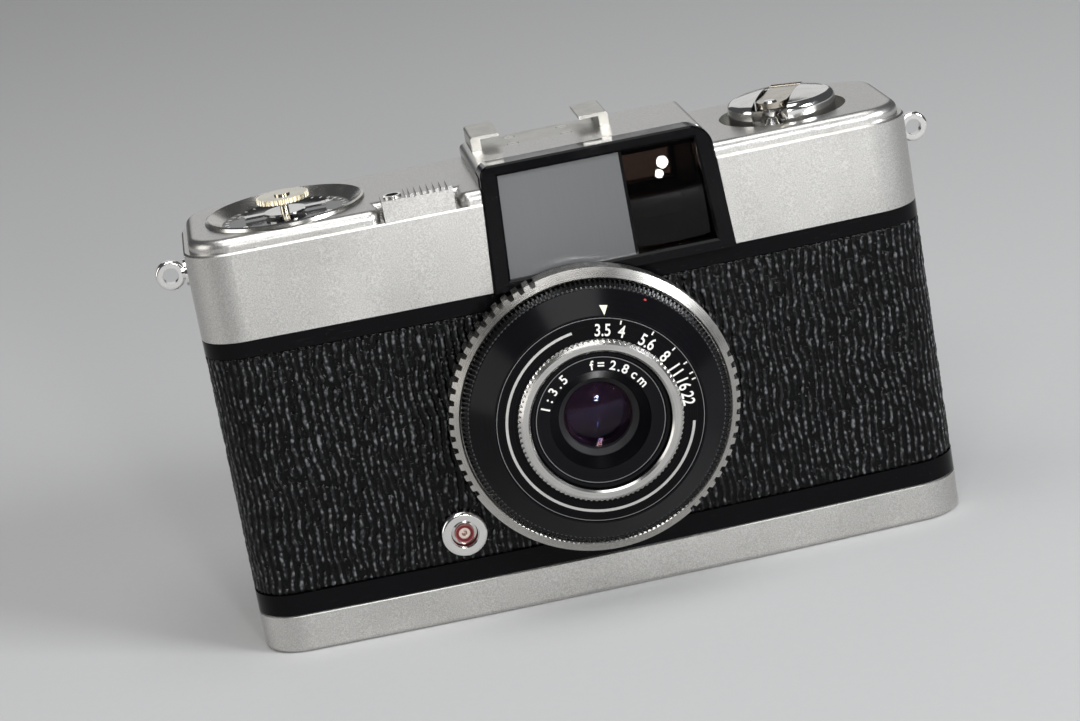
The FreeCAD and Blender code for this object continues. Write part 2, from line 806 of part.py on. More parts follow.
def release_socket_x():
    """Middle of the cable release hole."""
    return release_left + release_socket_width / 2


def release_button():
    """Block on a square stem: ridged on the right, with the seat of the cable release bush on the left."""
    z0 = ledge_z - release_sink
    z1 = ledge_z + release_height
    ridge_start = release_left + release_socket_width
    pad = box(release_left, release_right, release_front_y, release_front_y + release_depth, z0, z1)
    seat_low = release_bush_low() - 0.1
    cuts = [box(release_left - 1, ridge_start, release_front_y - 1, BIG, z1 - 0.4, BIG),
            post(release_socket_x(), release_stem_y(), seat_low, BIG, release_bush_radius + 0.01)]
    for index in range(int((release_right - ridge_start) / ridge_pitch)):
        x = ridge_start + (index + 0.5) * ridge_pitch
        cuts.append(box(x - 0.22, x + 0.22, release_front_y - 1, BIG, z1 - 0.5, BIG))
    return pad.cut(cuts).fuse(release_stem(release_stem_half, casting_top + 6, z0))


def release_bush_low():
    """Lower end of the cable release bush."""
    return ledge_z + release_travel + 0.2


def release_bush():
    """Bright threaded bush for a cable release."""
    z0 = release_bush_low()
    z1 = ledge_z + release_height - 0.1
    bush = post(release_socket_x(), release_stem_y(), z0, z1, release_bush_radius)
    return bush.cut(post(release_socket_x(), release_stem_y(), z0 - 1, z1 + 1, release_bore_radius))


# ---- rewind knob: drawn with the crank along +X about the origin, then turned into place ----

def place_rewind(shape):
    """Turn a piece from the crank's own directions to its place on the camera."""
    placed = shape.copy()
    placed.rotate(VECTOR(0, 0, 0), UP, crank_heading)
    placed.translate(VECTOR(rewind_x, 0, 0))
    return placed


def crank_floor_z():
    """Bottom of the slot that the crank folds into."""
    return knob_base_z + knob_height - knob_dome - 1.3


def crank_pin_z():
    """Height of the crank's hinge pin."""
    return crank_floor_z() + 1.0


def rewind_knob():
    """Domed knob with a slot for the crank, its riveted hinge pin and a deep notch for the handle."""
    top = knob_base_z + knob_height
    shoulder = top - knob_dome

    def at(radius, height):
        return VECTOR(radius, 0, height)

    rim_start = at(knob_radius, shoulder - 1.2)
    rim_end = at(knob_radius - 1.2, shoulder)
    rim = arc(rim_start, at(knob_radius - 0.35, shoulder - 0.35), rim_end)
    crown = arc(rim_end, at(4.0, top - 0.25), at(0, top))
    lower = Part.makePolygon([at(0, top), at(0, knob_base_z), at(knob_radius - 0.6, knob_base_z),
                              at(knob_radius, knob_base_z + 0.6), rim_start])
    face = Part.Face(Part.Wire(lower.Edges + [rim, crown]))
    body = face.revolve(VECTOR(0, 0, 0), UP, 360)
    half = crank_slot_width / 2
    slot = box(-knob_radius - 1, knob_radius + 1, -half, half, crank_floor_z(), BIG)
    notch = box(4.7, knob_radius + 1, -half - 0.1, half + 0.1, knob_base_z + 0.9, BIG)
    shaft_hole = post(0, 0, knob_base_z - 1, knob_base_z + 2.0, rewind_shaft_radius)
    pin_start = VECTOR(-crank_hinge_reach, -half - 0.2, crank_pin_z())
    hinge_pin = Part.makeCylinder(crank_pin_radius, crank_slot_width + 0.4, pin_start, VECTOR(0, 1, 0))
    return place_rewind(body.cut([slot, notch, shaft_hole]).fuse(hinge_pin))


def crank_arm():
    """Flat arm with a round tip and a knuckle round the pin."""
    z0 = crank_floor_z() + 0.75
    z1 = z0 + crank_thickness
    half = crank_width / 2
    plate = box(-crank_hinge_reach, crank_tip_reach - half, -half, half, z0, z1)
    tip = post(crank_tip_reach - half, 0, z0, z1, half)
    knuckle_start = VECTOR(-crank_hinge_reach, -half, crank_pin_z())
    knuckle = Part.makeCylinder(0.9, crank_width, knuckle_start, VECTOR(0, 1, 0))
    bore = Part.makeCylinder(crank_pin_radius + fit_gap, 10, VECTOR(-crank_hinge_reach, -5, crank_pin_z()),
                             VECTOR(0, 1, 0))
    rivet_hole = post(crank_handle_reach(), 0, z0 - 1, z1 + 1, 0.6 + fit_gap)
    return place_rewind(plate.fuse([tip, knuckle]).cut([bore, rivet_hole]))


def crank_handle_reach():
    """Distance of the handle from the knob's axis."""
    return crank_tip_reach - 0.9


def crank_handle():
    """Small waisted handle hanging under the arm's tip."""
    top = crank_floor_z() + 0.7
    low = knob_base_z + 1.1
    middle = (top + low) / 2
    rivet = top + crank_thickness + 0.1
    profile = [
        (0, low), (crank_handle_radius - 0.3, low), (crank_handle_radius, low + 0.4), (0.9, middle),
        (crank_handle_radius - 0.1, top - 0.3), (crank_handle_radius - 0.3, top), (0.6, top),
        (0.6, rivet), (1.1, rivet), (0.8, rivet + 0.25), (0, rivet + 0.3),
    ]
    return place_rewind(upright_revolve(crank_handle_reach(), 0, profile))


def rewind_shaft():
    """Shaft from the knob to the cassette fork."""
    fork_top = deck_under_z - rewind_lift - 0.4
    shaft = post(rewind_x, 0, fork_top, knob_base_z + 2.0, rewind_shaft_radius)
    head = post(rewind_x, 0, fork_top - 2.0, fork_top, 2.7)
    blade = box(rewind_x - 2.3, rewind_x + 2.3, -0.45, 0.45, fork_top - 5.0, fork_top - 2.0)
    key_flat = box(rewind_x - 5, rewind_x + 5, -5, -1.5, casting_top - rewind_lift - 0.3, knob_base_z - 1.5)
    return shaft.cut(key_flat).fuse([head, blade])


def rewind_collar():
    """Keyed bush that turns in the deck while the shaft slides through it."""
    body = post(rewind_x, 0, deck_under_z, casting_top + fit_gap, rewind_collar_radius)
    flange = post(rewind_x, 0, casting_top + fit_gap, casting_top + 2.0, rewind_collar_radius + 1.2)
    bore = post(rewind_x, 0, deck_under_z - 1, casting_top + 3, rewind_shaft_radius + fit_gap)
    key = box(rewind_x - 1.0, rewind_x + 1.0, -2.5, -1.5 - fit_gap, casting_top + 0.1, casting_top + 2.0)
    return body.fuse(flange).cut(bore).fuse(key)


# ---- lens ----

def focus_helicoid():
    """Fixed sleeve on the body that the lens unit slides in and the focus ring turns on."""
    tube = lens_ring(helicoid_radius, helicoid_bore, -front_y - 4.1, focus_front - 0.5)
    seat = -front_y - leather_thickness + fit_gap
    flange = lens_ring(helicoid_flange_radius, helicoid_bore, seat, focus_rear - clear_gap)
    return tube.fuse(flange)


def focus_ring():
    """Toothed silver ring: teeth at the left and right, plain at the top and bottom."""
    web_front = speed_rear - 0.4
    inner = helicoid_radius + fit_gap
    edge = (focus_radius, focus_front)
    profile = [(inner, focus_rear), (focus_radius - 0.4, focus_rear), (focus_radius, focus_rear + 0.4), edge,
               (focus_bevel_radius + 0.25, focus_bevel_front), (focus_bevel_radius, focus_bevel_front - 0.15),
               (focus_bevel_radius, web_front), (inner, web_front)]
    ring = lens_revolve(profile)
    notches = [focus_groove(forward) for forward in (focus_front - 2.3, focus_front - 0.75)]
    for start, count in focus_tooth_runs():
        for index in range(count):
            notches.append(focus_notch(start + index * focus_tooth_pitch))
    return ring.cut(notches)


def focus_groove(forward):
    """Shallow groove turned round the focus ring's edge."""
    return lens_ring(focus_radius + 1, focus_radius - 0.12, forward, forward + 0.16)


def focus_tooth_runs():
    """(first angle, number) of each run of notches; degrees from +X towards +Z."""
    left = (106.1, 21)
    right = (-56.5, 15)
    return [left, right]


def focus_notch(angle):
    """Wedge cut between two teeth."""
    half_outer = math.radians(focus_tooth_pitch * 0.32)
    half_inner = math.radians(focus_tooth_pitch * 0.19)
    middle = math.radians(angle)
    outer = focus_radius + 0.5
    inner = focus_radius - focus_tooth_depth
    corners = [(inner, middle - half_inner), (outer, middle - half_outer), (outer, middle + half_outer),
               (inner, middle + half_inner)]
    points = [VECTOR(r * math.cos(a), -focus_rear + 1, lens_z + r * math.sin(a)) for r, a in corners]
    return polygon_face(points).extrude(VECTOR(0, focus_rear - focus_bevel_front - 2, 0))


def speed_ring():
    """Black knurled shutter speed ring."""
    bore = drum_radius + fit_gap
    profile = [(bore, speed_rear), (speed_radius, speed_rear), (speed_radius, speed_front - 0.5),
               (speed_radius - 0.7, speed_front), (bore, speed_front)]
    return lens_revolve(profile)


def index_cone():
    """Black conical face with the index mark, fixed to the housing's drum."""
    profile = [(drum_radius, cone_rear), (cone_outer_radius, cone_rear),
               (cone_outer_radius, cone_rear + 0.25), (cone_inner_radius + 0.25, cone_front),
               (cone_inner_radius, cone_front), (cone_inner_radius, housing_front()),
               (drum_radius, housing_front())]
    return lens_revolve(profile)


def housing_front():
    """Front face of the housing's drum."""
    return aperture_rear - 0.3


def shutter_housing():
    """Tube with a drum at the front: holds both barrels, blades and rings."""
    rear = -front_y - 3.9
    bore = barrel_radius + 0.02
    profile = [(blade_cavity_radius, rear), (housing_radius, rear), (housing_radius, speed_rear - 0.1),
               (drum_radius, speed_rear - 0.1), (drum_radius, housing_front()), (bore, housing_front()),
               (bore, blade_cavity_front), (blade_cavity_radius, blade_cavity_front)]
    return lens_revolve(profile)


def front_barrel():
    """Barrel that holds the front and middle elements."""
    tip = aperture_rear - 0.2
    seat_radius = front_glass_radius + 0.02
    profile = [(barrel_throat_radius, blade_cavity_front), (barrel_radius, blade_cavity_front),
               (barrel_radius, tip), (name_ring_throat - 0.05, tip), (seat_radius, front_glass_collar),
               (seat_radius, front_glass_seat), (barrel_throat_radius, front_glass_seat)]
    return lens_revolve(profile)


def name_ring():
    """Black ring round the front glass, dished towards the glass in fine steps."""
    rear = aperture_rear - 0.2
    front = name_ring_front
    profile = [(name_ring_throat, rear), (barrel_radius - 0.05, rear), (barrel_radius - 0.05, front - 0.15),
               (barrel_radius - 0.25, front), (name_ring_slope_start, front - 0.5)]
    steps = 4
    for step in range(steps):
        radius = name_ring_slope_start - (step + 1) * (name_ring_slope_start - name_ring_throat) / steps
        height = front - 0.5 - step * (front - 0.5 - rear - 0.3) / steps
        profile.append((radius + 0.12, height - 0.12))
        profile.append((radius, height - 0.34))
    return lens_revolve(profile)


def aperture_scale():
    """Black ring that carries the aperture numbers."""
    return lens_ring(scale_radius, grip_outer_radius + 0.02, aperture_rear, scale_front)


def aperture_grip():
    """Chrome ring with a serrated edge."""
    rear = lens_ring(grip_outer_radius, grip_inner_radius, aperture_rear, scale_front)
    teeth = lens_toothed(grip_outer_radius, grip_outer_radius - 0.35, grip_teeth, scale_front, grip_front)
    crown = lens_revolve([(grip_inner_radius, scale_front), (grip_outer_radius, scale_front),
                          (grip_outer_radius, grip_front - 0.5), (grip_outer_radius - 0.6, grip_front),
                          (grip_inner_radius + 0.3, grip_front), (grip_inner_radius, grip_front - 0.3)])
    return rear.fuse(teeth.common(crown))


def sphere_on_axis(radius, centre_forward):
    """Ball centred on the lens axis."""
    return Part.makeSphere(radius, VECTOR(0, -centre_forward, lens_z))


def front_element():
    """Front glass, more curved in front."""
    edge = lens_disc(front_glass_radius, front_glass_seat + 0.1, 24.0)
    return edge.common(sphere_on_axis(11.0, 22.3 - 11.0))


def middle_element():
    """Hollow-faced middle glass."""
    disc = lens_disc(barrel_throat_radius - 0.02, 17.8, front_glass_seat - 0.1)
    return disc.cut([sphere_on_axis(12.0, 19.2 + 12.0), sphere_on_axis(14.0, 18.3 - 14.0)])


def rear_element():
    """Rear glass, curved towards the film."""
    disc = lens_disc(4.78, 11.0, 14.4)
    return disc.common(sphere_on_axis(12.0, 11.2 + 12.0))


def rear_barrel():
    """Cup that closes the housing's rear and carries the blade pins."""
    disc_rear = blade_cavity_rear - 0.6
    tube = lens_ring(6.2, 4.8, 10.8, disc_rear)
    disc = lens_ring(blade_cavity_radius - 0.02, 4.8, disc_rear, blade_cavity_rear)
    pins = [blade_pin(angle) for angle in aperture_pivots() + shutter_pivots()]
    return tube.fuse([disc] + pins)


def blade_pin(angle):
    """Fixed pin that one blade turns on, reaching across the blade cavity."""
    a = math.radians(angle)
    return lens_disc(blade_pin_radius, blade_cavity_rear, blade_cavity_front - fit_gap,
                     blade_pivot_radius * math.cos(a), lens_z + blade_pivot_radius * math.sin(a))


def aperture_pivots():
    """Angles of the aperture blades' pins, from +X towards +Z."""
    return [18.0 + index * 360.0 / aperture_blade_count for index in range(aperture_blade_count)]


def shutter_pivots():
    """Angles of the two shutter blades' pins."""
    return [36.0, 216.0]


def blade_ear(angle, inner_reach, rear, front):
    """Strip from the blade out to its pin, with the pin's eye."""
    a = math.radians(angle)
    x = blade_pivot_radius * math.cos(a)
    z = lens_z + blade_pivot_radius * math.sin(a)
    eye = lens_disc(1.05, rear, front, x, z)
    strip = box(inner_reach, blade_pivot_radius, -front, -rear, lens_z - 1.0, lens_z + 1.0)
    strip.rotate(VECTOR(0, 0, lens_z), FRONT, angle)
    return eye.fuse(strip)


def blade_hole(angle, rear, front):
    """Running hole for a blade's pin."""
    a = math.radians(angle)
    return lens_disc(blade_pin_radius + fit_gap, rear - 1, front + 1, blade_pivot_radius * math.cos(a),
                     lens_z + blade_pivot_radius * math.sin(a))


def ring_sector(outer, inner, start, span, rear, front):
    """Part of a ring about the lens axis, from a start angle towards +Z from +X."""
    def at(radius, degrees):
        a = math.radians(degrees)
        return VECTOR(radius * math.cos(a), -rear, lens_z + radius * math.sin(a))

    middle = start + span / 2
    end = start + span
    edges = [
        arc(at(outer, start), at(outer, middle), at(outer, end)),
        Part.makeLine(at(outer, end), at(inner, end)),
        arc(at(inner, end), at(inner, middle), at(inner, start)),
        Part.makeLine(at(inner, start), at(outer, start)),
    ]
    return Part.Face(Part.Wire(edges)).extrude(VECTOR(0, rear - front, 0))


def aperture_blade(index):
    """Crescent blade of the iris, wide open, in its own layer."""
    angle = aperture_pivots()[index]
    rear = 15.6 + index * 0.3
    front = rear + blade_thickness
    band = ring_sector(blade_outer_radius, blade_inner_radius, angle - 6.0, 104.0, rear, front)
    ear = blade_ear(angle, blade_inner_radius + 1, rear, front)
    return band.fuse(ear).cut(blade_hole(angle, rear, front))


def shutter_blade(index):
    """Half-round leaf that covers one half of the light's path when shut."""
    angle = shutter_pivots()[index]
    rear = 15.0 + index * 0.25
    front = rear + blade_thickness
    leaf = lens_disc(6.4, rear, front)
    half = box(-0.3, 10, -front - 1, -rear + 1, lens_z - 10, lens_z + 10)
    half.rotate(VECTOR(0, 0, lens_z), FRONT, angle + 90)
    return leaf.common(half).fuse(blade_ear(angle, 3.0, rear, front)).cut(blade_hole(angle, rear, front))


# ---- flash socket ----

def flash_socket_shell():
    """Chrome shell of the flash socket."""
    face = -front_surface_y(flash_x)
    rear = face - 2.4
    front = face + 1.1
    shell = lens_disc(flash_radius, rear, front, flash_x, flash_height)
    rims = [e for e in shell.Edges
            if abs(e.BoundBox.YMin + front) < 1e-4 and abs(e.BoundBox.YMax + front) < 1e-4]
    shell = shell.makeFillet(0.6, rims)
    return shell.cut(lens_disc(flash_inner_radius, rear - 1, front + 1, flash_x, flash_height))


def flash_socket_insulator():
    """Red insulator with a raised ring."""
    face = -front_surface_y(flash_x)
    base = lens_disc(flash_inner_radius - 0.01, face - 2.4, face - 0.4, flash_x, flash_height)
    ring = lens_disc(1.5, face - 0.4, face + 0.5, flash_x, flash_height)
    return base.fuse(ring).cut(lens_disc(0.9, face - 3, face + 1, flash_x, flash_height))


def flash_socket_contact():
    """Centre contact tube."""
    face = -front_surface_y(flash_x)
    tube = lens_disc(0.88, face - 2.4, face + 0.3, flash_x, flash_height)
    return tube.cut(lens_disc(0.45, face - 1.6, face + 1, flash_x, flash_height))


# ---- back and base ----

def back_panel():
    """Back of the camera with a skirt that goes down inside the base cover."""
    shell = skinned_shell(base_cover_height + seam_gap, casting_top)
    skirt = plan_prism(cover_wall, cover_wall, base_cover_height + seam_gap)
    hollow = plan_prism(door_wall + leather_thickness, -1, casting_top + 1)
    return shell.fuse(skirt).common(behind_seam()).cut(hollow)


def back_leather():
    """Leatherette on the back."""
    skin = plan_prism(0, leather_bottom, leather_top).cut(
        plan_prism(leather_thickness, leather_bottom - 1, leather_top + 1))
    return skin.common(behind_seam())


def bottom_cover():
    """Satin tray that closes the base."""
    tray = plan_prism(0, 0, base_cover_height)
    tray = tray.makeFillet(0.8, flat_edges(tray, 0))
    tray = tray.makeChamfer(0.25, flat_edges(tray, base_cover_height))
    hollow = plan_prism(cover_wall, cover_wall, base_cover_height + 1)
    pad = post(rewind_x, 0, cover_wall, 3.0, lock_disc_radius + 1.3)
    lock_recess = post(rewind_x, 0, -1, 2.0, lock_disc_radius + 0.15)
    lock_hole = post(rewind_x, 0, -1, 4.0, lock_shaft_radius + fit_gap)
    bush_hole = post(0, 0, -1, cover_wall + 1, tripod_bush_radius)
    button_hole = post(sprocket_x, sprocket_y - 5.0, -1, cover_wall + 1, rewind_button_radius + 0.15)
    return tray.cut(hollow).fuse(pad).cut([lock_recess, lock_hole, bush_hole, button_hole])


def tripod_bush():
    """Tripod bush with its flange inside the base cover."""
    body = post(0, 0, 0, tripod_bush_length, tripod_bush_radius - 0.02)
    flange = post(0, 0, cover_wall, cover_wall + 1.0, tripod_bush_radius + 2.0)
    return body.fuse(flange).cut(post(0, 0, -1, tripod_bush_length + 1, tripod_thread_radius))


def pressure_plate():
    """Flat plate that holds the film on the rails."""
    y0 = gate_plane_y + gate_plate + rail_height + 0.4
    half_height = film_width / 2 - 1
    return box(-gate_half_width, gate_half_width, y0, y0 + 0.7, lens_z - half_height, lens_z + half_height)


def pressure_spring():
    """Bowed leaf between the pressure plate and the back."""
    y0 = gate_plane_y + gate_plate + rail_height + 1.1
    reach = inner_door_y - y0
    half_height = 4.0

    def at(x, y):
        return VECTOR(x, y, lens_z - half_height)

    outer = arc(at(-12, y0), at(0, y0 + reach), at(12, y0))
    inner = arc(at(11, y0), at(0, y0 + reach - 0.25), at(-11, y0))
    right = Part.makeLine(at(12, y0), at(11, y0))
    left = Part.makeLine(at(-11, y0), at(-12, y0))
    return Part.Face(Part.Wire([outer, right, inner, left])).extrude(VECTOR(0, 0, 2 * half_height))


def lock_key():
    """Turning disc of the back lock, with ears for its handle and a latch bar."""
    disc = post(rewind_x, 0, 1.05, 1.85, lock_disc_radius)
    shaft = post(rewind_x, 0, 1.85, 4.2, lock_shaft_radius)
    latch = box(rewind_x - 5.0, rewind_x + 5.0, -1.5, 1.5, 3.1, 4.2)
    ears = []
    for side in (-1, 1):
        x = rewind_x + side * (lock_handle_radius + 0.55)
        ear = box(x - 0.4, x + 0.4, -0.8, 0.8, 0.1, 1.2)
        ears.append(ear)
    bore_start = VECTOR(rewind_x - 20, 0, lock_pin_z)
    bore = Part.makeCylinder(lock_pin_radius + fit_gap, 40, bore_start, VECTOR(1, 0, 0))
    return disc.fuse([shaft, latch]).fuse([ear.cut(bore) for ear in ears])


def lock_handle():
    """Half-round fold-out handle on a cross pin."""
    ring = post(rewind_x, 0, 0.25, 0.95, lock_handle_radius).cut(
        post(rewind_x, 0, -1, 2, lock_handle_radius - lock_handle_width))
    half = ring.common(box(-BIG, BIG, -0.3, BIG, -1, 2))
    pin_start = VECTOR(rewind_x - lock_handle_radius - 0.85, 0, lock_pin_z)
    pin = Part.makeCylinder(lock_pin_radius, 2 * lock_handle_radius + 1.7, pin_start, VECTOR(1, 0, 0))
    return half.fuse(pin)


def rewind_release_button():
    """Small button under the sprocket that frees the film for rewinding."""
    head = post(sprocket_x, sprocket_y - 5.0, 0.3, 2.6, rewind_button_radius)
    stem = post(sprocket_x, sprocket_y - 5.0, 2.6, floor_z - 1.3, 1.2)
    return head.fuse(stem)


def sub_parts():
    """Every piece by its node name."""
    pieces = {
        "body_casting": body_casting(),
        "front_leather": front_leather(),
        "film_gate": film_gate(),
        "top_cover": top_cover(),
        "finder_frame": finder_frame(),
        "frosted_window": frosted_window(),
        "finder_objective": finder_objective(),
        "finder_tube": finder_tube(),
        "eyepiece_frame": eyepiece_frame(),
        "eyepiece_lens": eyepiece_lens(),
        "accessory_shoe": accessory_shoe(),
        "shoe_screws": shoe_screws(),
        "strap_lug_left": strap_lug(-1),
        "strap_lug_right": strap_lug(1),
        "counter_bezel": counter_bezel(),
        "counter_dial": counter_dial(),
        "counter_pointer": counter_pointer(),
        "counter_knob": counter_knob(),
        "advance_wheel": advance_wheel(),
        "take_up_spool": take_up_spool(),
        "film_sprocket": film_sprocket(),
        "release_bush": release_bush(),
        "release_button": release_button(),
        "rewind_knob": rewind_knob(),
        "crank_arm": crank_arm(),
        "crank_handle": crank_handle(),
        "rewind_shaft": rewind_shaft(),
        "rewind_collar": rewind_collar(),
        "focus_helicoid": focus_helicoid(),
        "focus_ring": focus_ring(),
        "speed_ring": speed_ring(),
        "index_cone": index_cone(),
        "shutter_housing": shutter_housing(),
        "front_barrel": front_barrel(),
        "name_ring": name_ring(),
        "aperture_scale": aperture_scale(),
        "aperture_grip": aperture_grip(),
        "front_element": front_element(),
        "middle_element": middle_element(),
        "rear_element": rear_element(),
        "rear_barrel": rear_barrel(),
        "flash_socket_shell": flash_socket_shell(),
        "flash_socket_insulator": flash_socket_insulator(),
        "flash_socket_contact": flash_socket_contact(),
        "back_panel": back_panel(),
        "back_leather": back_leather(),
        "bottom_cover": bottom_cover(),
        "tripod_bush": tripod_bush(),
        "pressure_plate": pressure_plate(),
        "pressure_spring": pressure_spring(),
        "lock_key": lock_key(),
        "lock_handle": lock_handle(),
        "rewind_release_button": rewind_release_button(),
    }
    for index in range(aperture_blade_count):
        pieces[f"aperture_blade_{index + 1}"] = aperture_blade(index)
    for index in range(2):
        pieces[f"shutter_blade_{index + 1}"] = shutter_blade(index)
    return pieces


os.makedirs("parts", exist_ok=True)
for node, shape in sub_parts().items():
    shape.exportStep(f"parts/{node}.step")
    print(node, "solids", len(shape.Solids), "volume", round(shape.Volume, 1), "valid", shape.isValid())
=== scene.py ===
"""Half frame viewfinder camera: finishes, fine pieces and studio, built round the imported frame.

Sizes in this file are millimetres unless a name says otherwise; Blender's own data is in metres.
X is to the right as seen from the front, the lens looks along -Y, Z is up.
"""
import logging
import math
from abc import ABC, abstractmethod
from collections.abc import Callable, Mapping, Sequence
from dataclasses import dataclass, field
from enum import Enum
from typing import Any, ClassVar

import bmesh
import bpy
from mathutils import Matrix, Vector, noise


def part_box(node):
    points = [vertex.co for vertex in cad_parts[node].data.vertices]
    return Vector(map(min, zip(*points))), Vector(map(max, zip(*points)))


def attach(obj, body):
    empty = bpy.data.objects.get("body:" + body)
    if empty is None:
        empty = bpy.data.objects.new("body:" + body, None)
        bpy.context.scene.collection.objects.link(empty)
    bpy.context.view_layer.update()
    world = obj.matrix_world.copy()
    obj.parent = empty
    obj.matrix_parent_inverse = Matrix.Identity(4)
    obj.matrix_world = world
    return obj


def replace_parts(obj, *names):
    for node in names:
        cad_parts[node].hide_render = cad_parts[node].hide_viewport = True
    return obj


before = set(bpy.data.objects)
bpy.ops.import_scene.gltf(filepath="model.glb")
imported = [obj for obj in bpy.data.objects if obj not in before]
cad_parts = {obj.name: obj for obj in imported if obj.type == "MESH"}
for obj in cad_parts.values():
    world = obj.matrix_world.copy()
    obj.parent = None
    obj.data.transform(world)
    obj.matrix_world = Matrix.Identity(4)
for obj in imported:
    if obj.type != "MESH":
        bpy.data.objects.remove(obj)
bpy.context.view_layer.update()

LOG = logging.getLogger("half_frame_camera")
MM = 0.001
RIDGE = "ridge"
Colour = tuple[float, float, float]
Point = tuple[float, float]


class Body(Enum):
    """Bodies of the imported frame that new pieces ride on."""

    CAMERA = "camera"
    BACK = "back"
    LENS_UNIT = "lens_unit"
    SPEED = "speed"
    APERTURE = "aperture"


class Slot(Enum):
    """Material slots named in the record."""

    SATIN_METAL = "satin_metal"
    BLACK_ENAMEL = "black_enamel"
    BLACK_ANODISED = "black_anodised"
    LEATHERETTE = "leatherette"
    CHROME = "chrome"
    BRIGHT_METAL = "bright_metal"
    BRASS = "brass"
    STEEL = "steel"
    FROSTED_GLASS = "frosted_glass"
    CLEAR_GLASS = "clear_glass"
    DIAL_BLACK = "dial_black"
    RED_PLASTIC = "red_plastic"
    BLACK_PLASTIC = "black_plastic"
    BLADE_STEEL = "blade_steel"


# ---- shader toolkit ----

@dataclass(frozen=True)
class Signal:
    """A value socket that can be used in arithmetic; each operator adds one Math node."""

    recipe: "Recipe"
    socket: bpy.types.NodeSocket

    def _maths(self, operation: str, first: Any, second: Any = 0.0) -> "Signal":
        """Add a Math node on two values.

        Args:
            operation: Name of the Math node's operation.
            first: First value or signal.
            second: Second value or signal.

        Returns:
            The node's result.
        """
        made = self.recipe.node("ShaderNodeMath", {"operation": operation}, {0: first, 1: second})
        return Signal(self.recipe, made.outputs[0])

    def __add__(self, other: Any) -> "Signal":
        """Sum."""
        return self._maths("ADD", self, other)

    def __radd__(self, other: Any) -> "Signal":
        """Sum with the number first."""
        return self._maths("ADD", other, self)

    def __sub__(self, other: Any) -> "Signal":
        """Difference."""
        return self._maths("SUBTRACT", self, other)

    def __rsub__(self, other: Any) -> "Signal":
        """Difference with the number first."""
        return self._maths("SUBTRACT", other, self)

    def __mul__(self, other: Any) -> "Signal":
        """Product."""
        return self._maths("MULTIPLY", self, other)

    def __rmul__(self, other: Any) -> "Signal":
        """Product with the number first."""
        return self._maths("MULTIPLY", other, self)

    def __pow__(self, other: Any) -> "Signal":
        """Power."""
        return self._maths("POWER", self, other)

    def clamped(self) -> "Signal":
        """Held between 0 and 1."""
        return self._maths("MINIMUM", self._maths("MAXIMUM", self, 0.0), 1.0)

    def step(self, low: float, high: float) -> "Signal":
        """Smooth step from 0 at low to 1 at high.

        Args:
            low: Value that gives 0.
            high: Value that gives 1.

        Returns:
            The eased value.
        """
        made = self.recipe.node("ShaderNodeMapRange", {"interpolation_type": "SMOOTHSTEP"},
                                {0: self, 1: low, 2: high, 3: 0.0, 4: 1.0})
        return Signal(self.recipe, made.outputs[0])


